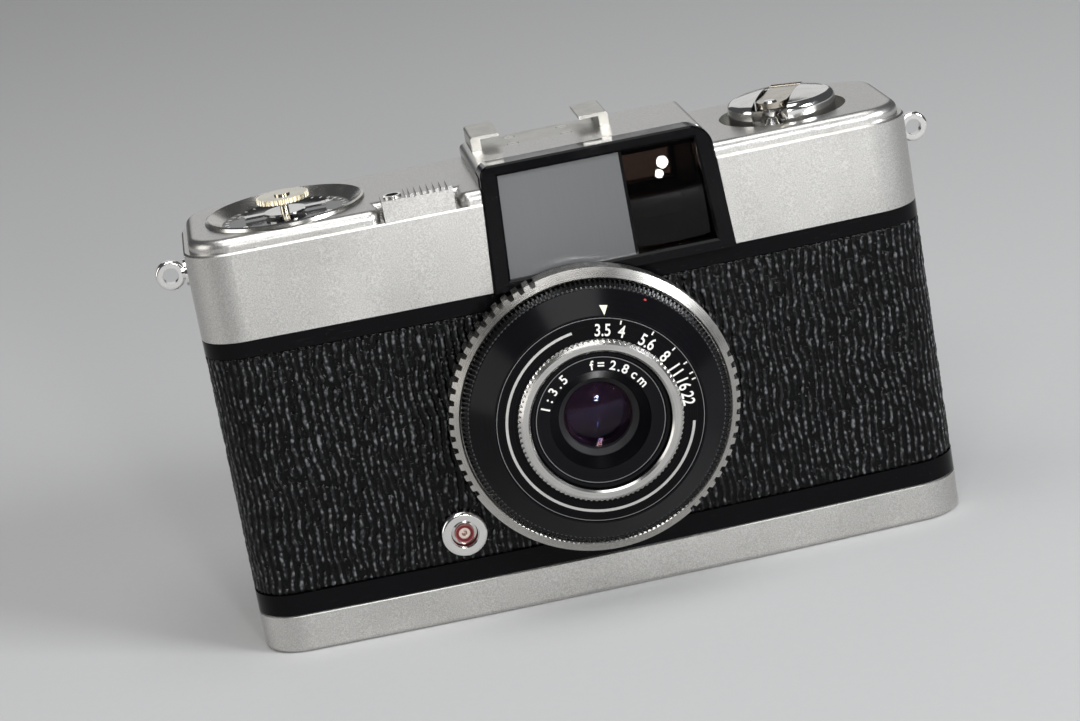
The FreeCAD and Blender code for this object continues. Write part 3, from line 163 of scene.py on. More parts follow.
class Recipe:
    """A material while it is being made: its node tree and the tools that fill it."""

    def __init__(self, name: str) -> None:
        """Start an empty material.

        Args:
            name: Name of the material.
        """
        self.material = bpy.data.materials.new(name)
        self.material.use_nodes = True
        self.tree = self.material.node_tree
        self.tree.nodes.clear()
        self.output = self.tree.nodes.new("ShaderNodeOutputMaterial")

    def feed(self, socket: bpy.types.NodeSocket, value: Any) -> None:
        """Link or set one input socket.

        Args:
            socket: The input.
            value: A signal, an output socket, or a plain value.
        """
        if isinstance(value, Signal):
            self.tree.links.new(value.socket, socket)
        elif isinstance(value, bpy.types.NodeSocket):
            self.tree.links.new(value, socket)
        else:
            socket.default_value = value

    def node(self, kind: str, settings: Mapping[str, Any] | None = None,
             sockets: Mapping[str | int, Any] | None = None) -> bpy.types.Node:
        """Add one node.

        Args:
            kind: Blender's name for the node type.
            settings: The node's own properties, set first.
            sockets: Values or links of its inputs, by name or number.

        Returns:
            The node.
        """
        made = self.tree.nodes.new(kind)
        for name, value in (settings or {}).items():
            setattr(made, name, value)
        for key, value in (sockets or {}).items():
            self.feed(made.inputs[key], value)
        return made

    def place(self, stretch: Sequence[float] = (1.0, 1.0, 1.0),
              offset: Sequence[float] = (0.0, 0.0, 0.0)) -> bpy.types.NodeSocket:
        """Position on the piece in millimetres.

        Args:
            stretch: Factor on each axis.
            offset: Point that becomes the origin, in millimetres.

        Returns:
            The vector socket.
        """
        where = self.node("ShaderNodeTexCoord").outputs["Object"]
        moved = self.node("ShaderNodeVectorMath", {"operation": "SUBTRACT"},
                          {0: where, 1: [value * MM for value in offset]})
        factors = [value / MM for value in stretch]
        return self.node("ShaderNodeVectorMath", {"operation": "MULTIPLY"},
                         {0: moved.outputs[0], 1: factors}).outputs[0]

    def attribute(self, name: str) -> Signal:
        """Value stored on the mesh's points.

        Args:
            name: Name of the attribute.

        Returns:
            The value.
        """
        made = self.node("ShaderNodeAttribute", {"attribute_name": name})
        return Signal(self, made.outputs["Fac"])

    def noise(self, per_mm: float, where: Any = None, detail: float = 2.0, roughness: float = 0.5) -> Signal:
        """Smooth noise.

        Args:
            per_mm: Waves per millimetre.
            where: Vector to read it at; the plain position if left out.
            detail: Octaves.
            roughness: Share of the finer octaves.

        Returns:
            Value about 0.5.
        """
        made = self.node("ShaderNodeTexNoise", {"noise_dimensions": "3D"},
                         {"Vector": self.place() if where is None else where, "Scale": per_mm,
                          "Detail": detail, "Roughness": roughness})
        return Signal(self, made.outputs[0])

    def cells(self, per_mm: float, where: Any = None, feature: str = "F1") -> Signal:
        """Cell pattern.

        Args:
            per_mm: Cells per millimetre.
            where: Vector to read it at; the plain position if left out.
            feature: Voronoi feature.

        Returns:
            The value.
        """
        made = self.node("ShaderNodeTexVoronoi", {"feature": feature},
                         {"Vector": self.place() if where is None else where, "Scale": per_mm})
        return Signal(self, made.outputs["Distance"])

    def parts(self, vector: bpy.types.NodeSocket) -> tuple[Signal, Signal, Signal]:
        """Split a vector into its three values."""
        made = self.node("ShaderNodeSeparateXYZ", None, {0: vector})
        return tuple(Signal(self, socket) for socket in made.outputs)

    def mix(self, share: Any, first: Any, second: Any) -> bpy.types.NodeSocket:
        """Blend two colours.

        Args:
            share: 0 gives the first, 1 the second.
            first: Colour or colour socket.
            second: Colour or colour socket.

        Returns:
            The colour socket.
        """
        made = self.node("ShaderNodeMix", {"data_type": "RGBA"},
                         {0: share, 6: opaque(first), 7: opaque(second)})
        return made.outputs[2]

    def bump(self, height: Signal, depth: float,
             base: bpy.types.NodeSocket | None = None) -> bpy.types.NodeSocket:
        """Surface relief.

        Args:
            height: Height from 0 to 1.
            depth: Depth of the relief in millimetres.
            base: Normal from an earlier relief.

        Returns:
            The normal socket.
        """
        sockets: dict[str | int, Any] = {"Height": height, "Distance": depth * MM, "Strength": 1.0}
        if base is not None:
            sockets["Normal"] = base
        return self.node("ShaderNodeBump", None, sockets).outputs[0]

    def surface(self, **sockets: Any) -> bpy.types.Material:
        """Close the recipe with a Principled shader.

        Args:
            **sockets: Input sockets, with underscores for the spaces in their names.

        Returns:
            The finished material.
        """
        named = {key.replace("_", " "): value for key, value in sockets.items()}
        shader = self.node("ShaderNodeBsdfPrincipled", None, {k: opaque(v) for k, v in named.items()})
        self.tree.links.new(shader.outputs[0], self.output.inputs[0])
        return self.material


def opaque(value: Any) -> Any:
    """Give a three part colour its alpha; anything else passes as it is."""
    return (*value, 1.0) if isinstance(value, tuple) and len(value) == 3 else value


# ---- finishes ----

@dataclass(frozen=True)
class Finish(ABC):
    """A finish that is cooked once and shared by all pieces that have it."""

    name: str
    slot: Slot
    cooked: ClassVar[dict[str, bpy.types.Material]] = {}

    @abstractmethod
    def cook(self) -> bpy.types.Material:
        """Make the material."""

    def material(self) -> bpy.types.Material:
        """The finish's material, made on first use."""
        if self.name not in Finish.cooked:
            Finish.cooked[self.name] = self.cook()
        return Finish.cooked[self.name]


@dataclass(frozen=True)
class SatinPlate(Finish):
    """Bead-blasted chrome plate: fine sparkling grain with slow tarnish."""

    dark: Colour = (0.40, 0.39, 0.37)
    light: Colour = (0.70, 0.69, 0.67)
    roughness: float = 0.34
    grain: float = 5.5
    grain_depth: float = 0.014

    def cook(self) -> bpy.types.Material:
        """Make the material."""
        recipe = Recipe(self.name)
        grain = recipe.noise(self.grain, detail=3.0, roughness=0.7)
        sparkle = recipe.cells(self.grain * 0.9).step(0.5, 0.05)
        tarnish = recipe.noise(0.09, detail=3.0)
        tone = (grain.step(0.3, 0.7) * 0.75 + tarnish * 0.3).clamped()
        rough = self.roughness + (tarnish - 0.5) * 0.12 + (grain - 0.5) * 0.25
        relief = recipe.bump(grain * 0.7 + sparkle * 0.3, self.grain_depth)
        return recipe.surface(Base_Color=recipe.mix(tone, self.dark, self.light), Metallic=1.0,
                              Roughness=rough.clamped(), Normal=relief)


@dataclass(frozen=True)
class Plating(Finish):
    """Smooth bright plate with fine rubbing marks and finger haze."""

    colour: Colour = (0.80, 0.79, 0.77)
    roughness: float = 0.10
    haze: float = 0.12
    scratch_depth: float = 0.0012

    def cook(self) -> bpy.types.Material:
        """Make the material."""
        recipe = Recipe(self.name)
        haze = recipe.noise(0.35, detail=4.0, roughness=0.6)
        rub = recipe.noise(1.0, recipe.place((1.2, 6.0, 9.0)), detail=3.0, roughness=0.7)
        pits = recipe.cells(1.6).step(0.09, 0.03)
        shade = tuple(value * 0.72 for value in self.colour)
        tone = ((haze - 0.35) * 0.8 + pits * 0.6).clamped()
        rough = self.roughness + haze.step(0.4, 0.75) * self.haze + pits * 0.3
        return recipe.surface(Base_Color=recipe.mix(tone, self.colour, shade), Metallic=1.0,
                              Roughness=rough.clamped(), Normal=recipe.bump(rub, self.scratch_depth))


@dataclass(frozen=True)
class TurnedPlate(Finish):
    """Lathe-turned metal with fine rings about the lens axis."""

    lens_height: float = 30.5
    colour: Colour = (0.74, 0.73, 0.71)
    roughness: float = 0.22
    metallic: float = 1.0
    specular: float = 0.5
    ring_pitch: float = 0.16
    ring_depth: float = 0.004
    haze_share: float = 0.35

    def cook(self) -> bpy.types.Material:
        """Make the material."""
        recipe = Recipe(self.name)
        across, along, up = recipe.parts(recipe.place(offset=(0.0, 0.0, self.lens_height)))
        radius = (across * across + up * up) ** 0.5
        sweep = recipe.node("ShaderNodeCombineXYZ", None, {0: radius, 1: along * 1.0, 2: 0.0}).outputs[0]
        rings = recipe.noise(1.0 / self.ring_pitch, sweep, detail=2.0)
        haze = recipe.noise(0.3, detail=4.0)
        grain = recipe.noise(6.0, detail=2.0)
        shade = tuple(value * 0.78 for value in self.colour)
        tone = (rings * (1.0 - self.haze_share) + haze * self.haze_share).step(0.3, 0.65)
        rough = self.roughness + (haze - 0.5) * 0.08 + (rings - 0.5) * 0.08
        relief = recipe.bump(grain, 0.0006, recipe.bump(rings, self.ring_depth))
        return recipe.surface(Base_Color=recipe.mix(tone, shade, self.colour), Metallic=self.metallic,
                              Roughness=rough.clamped(), Specular_IOR_Level=self.specular, Normal=relief)


@dataclass(frozen=True)
class GlossEnamel(Finish):
    """Stoved black enamel: deep gloss, faint orange peel, hairlines and dust."""

    colour: Colour = (0.003, 0.003, 0.0035)
    worn: Colour = (0.022, 0.022, 0.024)
    roughness: float = 0.06
    specular: float = 0.07

    def cook(self) -> bpy.types.Material:
        """Make the material."""
        recipe = Recipe(self.name)
        peel = recipe.noise(0.9, detail=2.0)
        haze = recipe.noise(0.12, detail=4.0, roughness=0.6)
        hairlines = recipe.noise(1.0, recipe.place((0.4, 5.0, 7.0)), detail=2.0).step(0.66, 0.74)
        dust = recipe.cells(0.8).step(0.07, 0.03)
        tone = (hairlines * 0.35 + dust).clamped()
        rough = self.roughness + haze.step(0.35, 0.8) * 0.14 + tone * 0.35
        return recipe.surface(Base_Color=recipe.mix(tone, self.colour, self.worn), Roughness=rough.clamped(),
                              Specular_IOR_Level=self.specular, Normal=recipe.bump(peel, 0.003))


@dataclass(frozen=True)
class MattBlack(Finish):
    """Black anodised or moulded surface with a fine even grain."""

    colour: Colour = (0.010, 0.010, 0.011)
    roughness: float = 0.34
    metallic: float = 0.0
    specular: float = 0.35
    grain: float = 7.0
    grain_depth: float = 0.004

    def cook(self) -> bpy.types.Material:
        """Make the material."""
        recipe = Recipe(self.name)
        grain = recipe.noise(self.grain, detail=2.0)
        haze = recipe.noise(0.25, detail=4.0)
        dust = recipe.cells(1.1).step(0.06, 0.02)
        light = tuple(value * 2.2 + 0.004 for value in self.colour)
        tone = (haze.step(0.4, 0.8) * 0.5 + dust * 0.5).clamped()
        rough = self.roughness + (haze - 0.5) * 0.14 + (grain - 0.5) * 0.12
        return recipe.surface(Base_Color=recipe.mix(tone, self.colour, light), Metallic=self.metallic,
                              Roughness=rough.clamped(), Specular_IOR_Level=self.specular,
                              Normal=recipe.bump(grain, self.grain_depth))


@dataclass(frozen=True)
class Leatherette(Finish):
    """Black embossed vinyl: beaded skin on top of the pressed ridges, with painted highlights on the ridge
    crests and bead tops and painted shade in the valleys.
    """

    # painted shade: near-black colour in the valleys
    valley: Colour = (0.0012, 0.0012, 0.0014)
    # painted highlight: light grey colour on the ridge crests, far lighter than black vinyl
    crest: Colour = (0.150, 0.155, 0.162)
    roughness: float = 0.17
    specular: float = 0.13
    bead_depth: float = 0.18

    def cook(self) -> bpy.types.Material:
        """Make the material."""
        recipe = Recipe(self.name)
        ridge = recipe.attribute(RIDGE)
        beads = 1.0 - recipe.cells(1.7, recipe.place((1.0, 1.0, 0.85)), feature="SMOOTH_F1")
        pores = recipe.noise(6.0, detail=3.0, roughness=0.65)
        # slow noise that varies the strength of the painted highlight
        painted_highlight_patches = recipe.noise(0.12, detail=3.0)
        lint = recipe.cells(0.55).step(0.05, 0.02)
        relief = beads * 0.85 + pores * 0.15
        # painted highlight mask: ridge crests, strongest on the bead tops
        painted_highlight_mask = ridge.step(0.42, 1.0) * (0.10 + beads.step(0.48, 0.85) * 0.90)
        # painted highlights and painted shade set by ridge height, plus real lint specks
        tone = (painted_highlight_mask * (0.55 + painted_highlight_patches * 0.7) + lint * 0.6).clamped()
        rough = self.roughness + (pores - 0.5) * 0.22 + (0.5 - ridge) * 0.16
        return recipe.surface(Base_Color=recipe.mix(tone, self.valley, self.crest), Roughness=rough.clamped(),
                              Specular_IOR_Level=self.specular, Normal=recipe.bump(relief, self.bead_depth))


@dataclass(frozen=True)
class FrostedPane(Finish):
    """Ground glass pane, grey with a painted light gradient, lighter towards the top and left, and a faint
    vertical grain.
    """

    dark: Colour = (0.036, 0.038, 0.040)
    light: Colour = (0.088, 0.091, 0.094)
    roughness: float = 0.42
    middle_height: float = 58.0

    def cook(self) -> bpy.types.Material:
        """Make the material."""
        recipe = Recipe(self.name)
        across, _, up = recipe.parts(recipe.place())
        # painted light: the pane is lighter towards the top and towards the left
        painted_light_gradient = (0.55 - across * 0.02 + (up - self.middle_height) * 0.02).clamped()
        flutes = recipe.noise(1.0, recipe.place((7.0, 1.0, 0.12)), detail=2.0)
        grain = recipe.noise(8.0, detail=2.0)
        tone = (painted_light_gradient + (flutes - 0.5) * 0.25 + (grain - 0.5) * 0.15).clamped()
        rough = self.roughness + (grain - 0.5) * 0.1
        return recipe.surface(Base_Color=recipe.mix(tone, self.dark, self.light), Roughness=rough,
                              Coat_Weight=0.3, Coat_Roughness=0.12, Normal=recipe.bump(grain, 0.003))


@dataclass(frozen=True)
class OpticalGlass(Finish):
    """Polished glass, coated or plain, with a trace of dust and wiping marks."""

    tint: Colour = (1.0, 1.0, 1.0)
    film: float = 0.0
    ior: float = 1.52

    def cook(self) -> bpy.types.Material:
        """Make the material."""
        recipe = Recipe(self.name)
        wipes = recipe.noise(0.5, recipe.place((1.0, 1.0, 2.5)), detail=4.0)
        dust = recipe.cells(1.0).step(0.06, 0.02)
        grey = tuple(value * 0.82 for value in self.tint)
        rough = 0.003 + wipes.step(0.6, 0.9) * 0.01 + dust * 0.2
        return recipe.surface(Base_Color=recipe.mix(dust, self.tint, grey), Roughness=rough,
                              IOR=self.ior, Transmission_Weight=1.0, Thin_Film_Thickness=self.film,
                              Thin_Film_IOR=1.38)


@dataclass(frozen=True)
class PaintFill(Finish):
    """Paint rubbed into an engraved mark, slightly uneven."""

    colour: Colour = (0.78, 0.77, 0.73)
    roughness: float = 0.5

    def cook(self) -> bpy.types.Material:
        """Make the material."""
        recipe = Recipe(self.name)
        uneven = recipe.noise(3.0, detail=3.0)
        thin = tuple(value * 0.75 for value in self.colour)
        return recipe.surface(Base_Color=recipe.mix(uneven.step(0.4, 0.8), self.colour, thin),
                              Roughness=self.roughness + (uneven - 0.5) * 0.2,
                              Normal=recipe.bump(uneven, 0.006))


@dataclass(frozen=True)
class PaperFloor(Finish):
    """Plain pale studio floor."""

    colour: Colour = (0.50, 0.50, 0.50)

    def cook(self) -> bpy.types.Material:
        """Make the material."""
        recipe = Recipe(self.name)
        fibres = recipe.noise(0.6, detail=4.0)
        shade = tuple(value * 0.96 for value in self.colour)
        return recipe.surface(Base_Color=recipe.mix(fibres, shade, self.colour), Roughness=0.9,
                              Specular_IOR_Level=0.15, Normal=recipe.bump(fibres, 0.02))


SATIN = SatinPlate("satin_plate", Slot.SATIN_METAL)
RIM_SATIN = TurnedPlate("turned_satin", Slot.SATIN_METAL, roughness=0.27, colour=(0.50, 0.485, 0.46))
SHOE_PLATE = Plating("shoe_plate", Slot.CHROME, colour=(0.56, 0.55, 0.51), roughness=0.34)
CHROME = Plating("bright_chrome", Slot.CHROME)
NICKEL = Plating("nickel_plate", Slot.BRIGHT_METAL, colour=(0.66, 0.64, 0.60), roughness=0.18)
CRANK_PLATE = Plating("crank_plate", Slot.CHROME, colour=(0.50, 0.46, 0.39), roughness=0.16)
BRASS = Plating("worn_brass", Slot.BRASS, colour=(0.62, 0.50, 0.30), roughness=0.22)
STEEL = Plating("bare_steel", Slot.STEEL, colour=(0.52, 0.51, 0.50), roughness=0.3)
BLADE = Plating("blued_blade", Slot.BLADE_STEEL, colour=(0.10, 0.10, 0.11), roughness=0.35)
GRIP_CHROME = TurnedPlate("turned_chrome", Slot.CHROME, roughness=0.22, colour=(0.58, 0.57, 0.55))
KNOB_NICKEL = Plating("knob_nickel", Slot.CHROME, colour=(0.72, 0.68, 0.56), roughness=0.12)
LENS_BLACK = TurnedPlate("turned_black", Slot.BLACK_ANODISED, colour=(0.004, 0.004, 0.005), roughness=0.20,
                         metallic=0.0, specular=0.1, ring_depth=0.0015)
DIAL_BLACK = TurnedPlate("dial_black", Slot.DIAL_BLACK, colour=(0.003, 0.003, 0.0035), roughness=0.26,
                         metallic=0.0, specular=0.07, ring_depth=0.001)
KNURL_BLACK = TurnedPlate("knurled_black", Slot.BLACK_ANODISED, colour=(0.004, 0.004, 0.0045),
                          roughness=0.22, metallic=0.0, specular=0.25)
ENAMEL = GlossEnamel("gloss_enamel", Slot.BLACK_ENAMEL)
COUNTER_BLACK = GlossEnamel("counter_black", Slot.DIAL_BLACK, roughness=0.05, specular=0.5)
INNER_BLACK = MattBlack("inner_black", Slot.BLACK_ANODISED, roughness=0.55)
MOULDED_BLACK = MattBlack("moulded_black", Slot.BLACK_PLASTIC, roughness=0.38, grain=4.0, grain_depth=0.01)
DARK_RED = MattBlack("red_insulator", Slot.RED_PLASTIC, colour=(0.13, 0.006, 0.008), roughness=0.35,
                     grain=5.0)
PINK_RED = MattBlack("pale_red_ring", Slot.RED_PLASTIC, colour=(0.30, 0.10, 0.09), roughness=0.3, grain=5.0)
CREAM_METAL = Plating("tinned_brass", Slot.BRASS, colour=(0.78, 0.66, 0.60), roughness=0.35)
LEATHER = Leatherette("embossed_leatherette", Slot.LEATHERETTE)
FROSTED = FrostedPane("frosted_pane", Slot.FROSTED_GLASS)
CLEAR = OpticalGlass("clear_glass", Slot.CLEAR_GLASS)
# painted shade: near-black brown tint that stands in for the dark inside of the finder
SHADED_FINDER_GLASS = OpticalGlass("finder_glass_painted_shade", Slot.CLEAR_GLASS, tint=(0.055, 0.034, 0.026), ior=1.28)
# painted shade and painted reflection colour: the purple tint dims the view into the lens and colours the
# inner reflections purple; the thin film is the real coating
COATED = OpticalGlass("coated_glass", Slot.CLEAR_GLASS, tint=(0.48, 0.36, 0.50), film=110.0, ior=1.52)
INNER_GLASS = OpticalGlass("inner_glass", Slot.CLEAR_GLASS, tint=(0.62, 0.52, 0.64), film=120.0, ior=1.6)
WHITE_FILL = PaintFill("white_fill", Slot.DIAL_BLACK)
CREAM_FILL = PaintFill("cream_fill", Slot.DIAL_BLACK, colour=(0.80, 0.76, 0.55))
RED_FILL = PaintFill("red_fill", Slot.DIAL_BLACK, colour=(0.45, 0.04, 0.03))
SILVER_LINE = Plating("silver_line", Slot.CHROME, colour=(0.62, 0.61, 0.59), roughness=0.3)
# painted glints: grey metal colour for the marks on the knurl's tooth crests
CREST_GLINT_PLATE = Plating("painted_crest_glint", Slot.BLACK_ANODISED, colour=(0.09, 0.09, 0.095), roughness=0.6)
FAINT_LINE = Plating("faint_line", Slot.CHROME, colour=(0.24, 0.24, 0.24), roughness=0.35)


def dress(finish: Finish, *nodes: str) -> None:
    """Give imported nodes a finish.

    Args:
        finish: The finish.
        *nodes: Names of the nodes.
    """
    for node in nodes:
        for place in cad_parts[node].material_slots:
            place.material = finish.material()


# ---- places and mesh building ----

@dataclass(frozen=True)
class Extent:
    """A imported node's box at rest, in millimetres."""

    low: Vector
    high: Vector

    @classmethod
    def of(cls, node: str) -> "Extent":
        """Box of a node."""
        low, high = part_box(node)
        return cls(Vector(low) / MM, Vector(high) / MM)

    @property
    def middle(self) -> Vector:
        """Centre of the box."""
        return (self.low + self.high) / 2


@dataclass(frozen=True)
class Spindle:
    """An axis with its own directions, for turned work; degrees run from zero towards quarter."""

    origin: Vector
    along: Vector
    zero: Vector
    quarter: Vector

    def at(self, radius: float, degrees: float, height: float) -> Vector:
        """Point in the frame.

        Args:
            radius: Distance from the axis.
            degrees: Angle about the axis.
            height: Distance along the axis.

        Returns:
            The point in millimetres.
        """
        angle = math.radians(degrees)
        outward = self.zero * math.cos(angle) + self.quarter * math.sin(angle)
        return self.origin + self.along * height + outward * radius


def lens_spindle() -> Spindle:
    """The lens axis: degrees clockwise from the top as seen from the front, heights forward from y = 0."""
    middle = Extent.of("name_ring").middle
    return Spindle(Vector((middle.x, 0, middle.z)), Vector((0, -1, 0)), Vector((0, 0, 1)), Vector((1, 0, 0)))


def upright_spindle(node: str) -> Spindle:
    """Upright axis through a node's middle: degrees clockwise from the back, heights from z = 0."""
    middle = Extent.of(node).middle
    return Spindle(Vector((middle.x, middle.y, 0)), Vector((0, 0, 1)), Vector((0, 1, 0)), Vector((1, 0, 0)))


class Work:
    """One new piece on the bench, in millimetres until it is placed."""

    def __init__(self, name: str) -> None:
        """Start a piece.

        Args:
            name: Name of the piece.
        """
        self.name = name
        self.mesh = bmesh.new()

    def add(self, points: Sequence[Vector], faces: Sequence[Sequence[int]]) -> None:
        """Add points and the faces between them.

        Args:
            points: Positions in millimetres.
            faces: Corner numbers of each face, counted within points.
        """
        made = [self.mesh.verts.new(point) for point in points]
        for face in faces:
            self.mesh.faces.new([made[corner] for corner in face])

    def turn(self, spindle: Spindle, profile: Sequence[Point], steps: int,
             ripple: Callable[[int, int], float] | None = None) -> None:
        """Turn a closed profile all round an axis.

        Args:
            spindle: The axis.
            profile: Closed outline of (radius, height) points.
            steps: Number of steps round the axis.
            ripple: Radius to add at (step, profile point).
        """
        count = len(profile)
        points = []
        for step in range(steps):
            for index, (radius, height) in enumerate(profile):
                extra = ripple(step, index) if ripple else 0.0
                points.append(spindle.at(radius + extra, 360.0 * step / steps, height))
        faces = []
        for step in range(steps):
            here = step * count
            there = ((step + 1) % steps) * count
            for index in range(count):
                after = (index + 1) % count
                faces.append((here + index, here + after, there + after, there + index))
        self.add(points, faces)

    def band(self, spindle: Spindle, radii: Point, degrees: Point, heights: Point, steps: int) -> None:
        """Block bent round an axis, such as an engraved arc or a tick.

        Args:
            spindle: The axis.
            radii: Inner and outer radius.
            degrees: First and last angle.
            heights: Low and high ends along the axis.
            steps: Steps from the first angle to the last.
        """
        inner, outer = radii
        low, high = heights
        corners = [(inner, low), (outer, low), (outer, high), (inner, high)]
        points = []
        for step in range(steps + 1):
            angle = degrees[0] + (degrees[1] - degrees[0]) * step / steps
            points.extend(spindle.at(radius, angle, height) for radius, height in corners)
        faces: list[tuple[int, ...]] = [(3, 2, 1, 0), tuple(steps * 4 + corner for corner in range(4))]
        for step in range(steps):
            base = step * 4
            for corner in range(4):
                after = (corner + 1) % 4
                faces.append((base + corner, base + after, base + 4 + after, base + 4 + corner))
        self.add(points, faces)

    def prism(self, outline: Sequence[Vector], depth: Vector) -> None:
        """Flat outline pushed back into a solid.

        Args:
            outline: Corners of the front face in order.
            depth: How far and which way the back face lies.
        """
        count = len(outline)
        points = list(outline) + [corner + depth for corner in outline]
        faces: list[tuple[int, ...]] = [tuple(range(count)), tuple(range(2 * count - 1, count - 1, -1))]
        for index in range(count):
            after = (index + 1) % count
            faces.append((index, index + count, after + count, after))
        self.add(points, faces)

    def letters(self, text: str, height: float, middle: Vector, right: Vector, up: Vector,
                squeeze: float = 0.8, weight: float = 0.03, thickness: float = 0.06) -> None:
        """Characters centred on a point.

        Args:
            text: What to write.
            height: Height of a figure.
            middle: Centre of the text.
            right: Unit vector along the line.
            up: Unit vector up the figures.
            squeeze: Width factor.
            weight: How much bolder than the plain figure.
            thickness: Depth of the characters.
        """
        figure_share = 0.69
        curve = bpy.data.curves.new("letters", "FONT")
        curve.body = text
        curve.size = height / figure_share
        curve.align_x = "CENTER"
        curve.extrude = thickness / 2
        curve.offset = weight
        curve.resolution_u = 4
        holder = bpy.data.objects.new("letters", curve)
        flat = bpy.data.meshes.new_from_object(holder)
        columns = Matrix((right * squeeze, up, right.cross(up))).transposed().to_4x4()
        flat.transform(Matrix.Translation(middle) @ columns @ Matrix.Translation((0, -height / 2, 0)))
        self.mesh.from_mesh(flat)
        bpy.data.objects.remove(holder)
        bpy.data.curves.remove(curve)
        bpy.data.meshes.remove(flat)

    def place(self, body: Body, finish: Finish, sharp: float = 35.0) -> bpy.types.Object:
        """Turn the work into an object that rides on a body.

        Args:
            body: Body to ride on.
            finish: Its finish.
            sharp: Edges that bend more than this many degrees stay crisp.

        Returns:
            The object.
        """
        bmesh.ops.remove_doubles(self.mesh, verts=self.mesh.verts, dist=1e-5)
        bmesh.ops.recalc_face_normals(self.mesh, faces=self.mesh.faces)
        data = bpy.data.meshes.new(self.name)
        self.mesh.to_mesh(data)
        self.mesh.free()
        return place_mesh(self.name, data, body, finish, sharp)


def place_mesh(name: str, data: bpy.types.Mesh, body: Body, finish: Finish,
               sharp: float) -> bpy.types.Object:
    """Bring a mesh from millimetres into the scene.

    Args:
        name: Name of the piece.
        data: Its mesh.
        body: Body to ride on.
        finish: Its finish.
        sharp: Edges that bend more than this many degrees stay crisp.

    Returns:
        The object.
    """
    data.transform(Matrix.Scale(MM, 4))
    data.shade_smooth()
    data.set_sharp_from_angle(angle=math.radians(sharp))
    data.materials.append(finish.material())
    made = bpy.data.objects.new(name, data)
    bpy.context.scene.collection.objects.link(made)
    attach(made, body.value)
    LOG.info("piece %s: %d faces on %s", name, len(data.polygons), body.value)
    return made


# ---- leatherette ----

@dataclass(frozen=True)
class Hole:
    """Round hole through the front covering."""

    x: float
    z: float
    radius: float


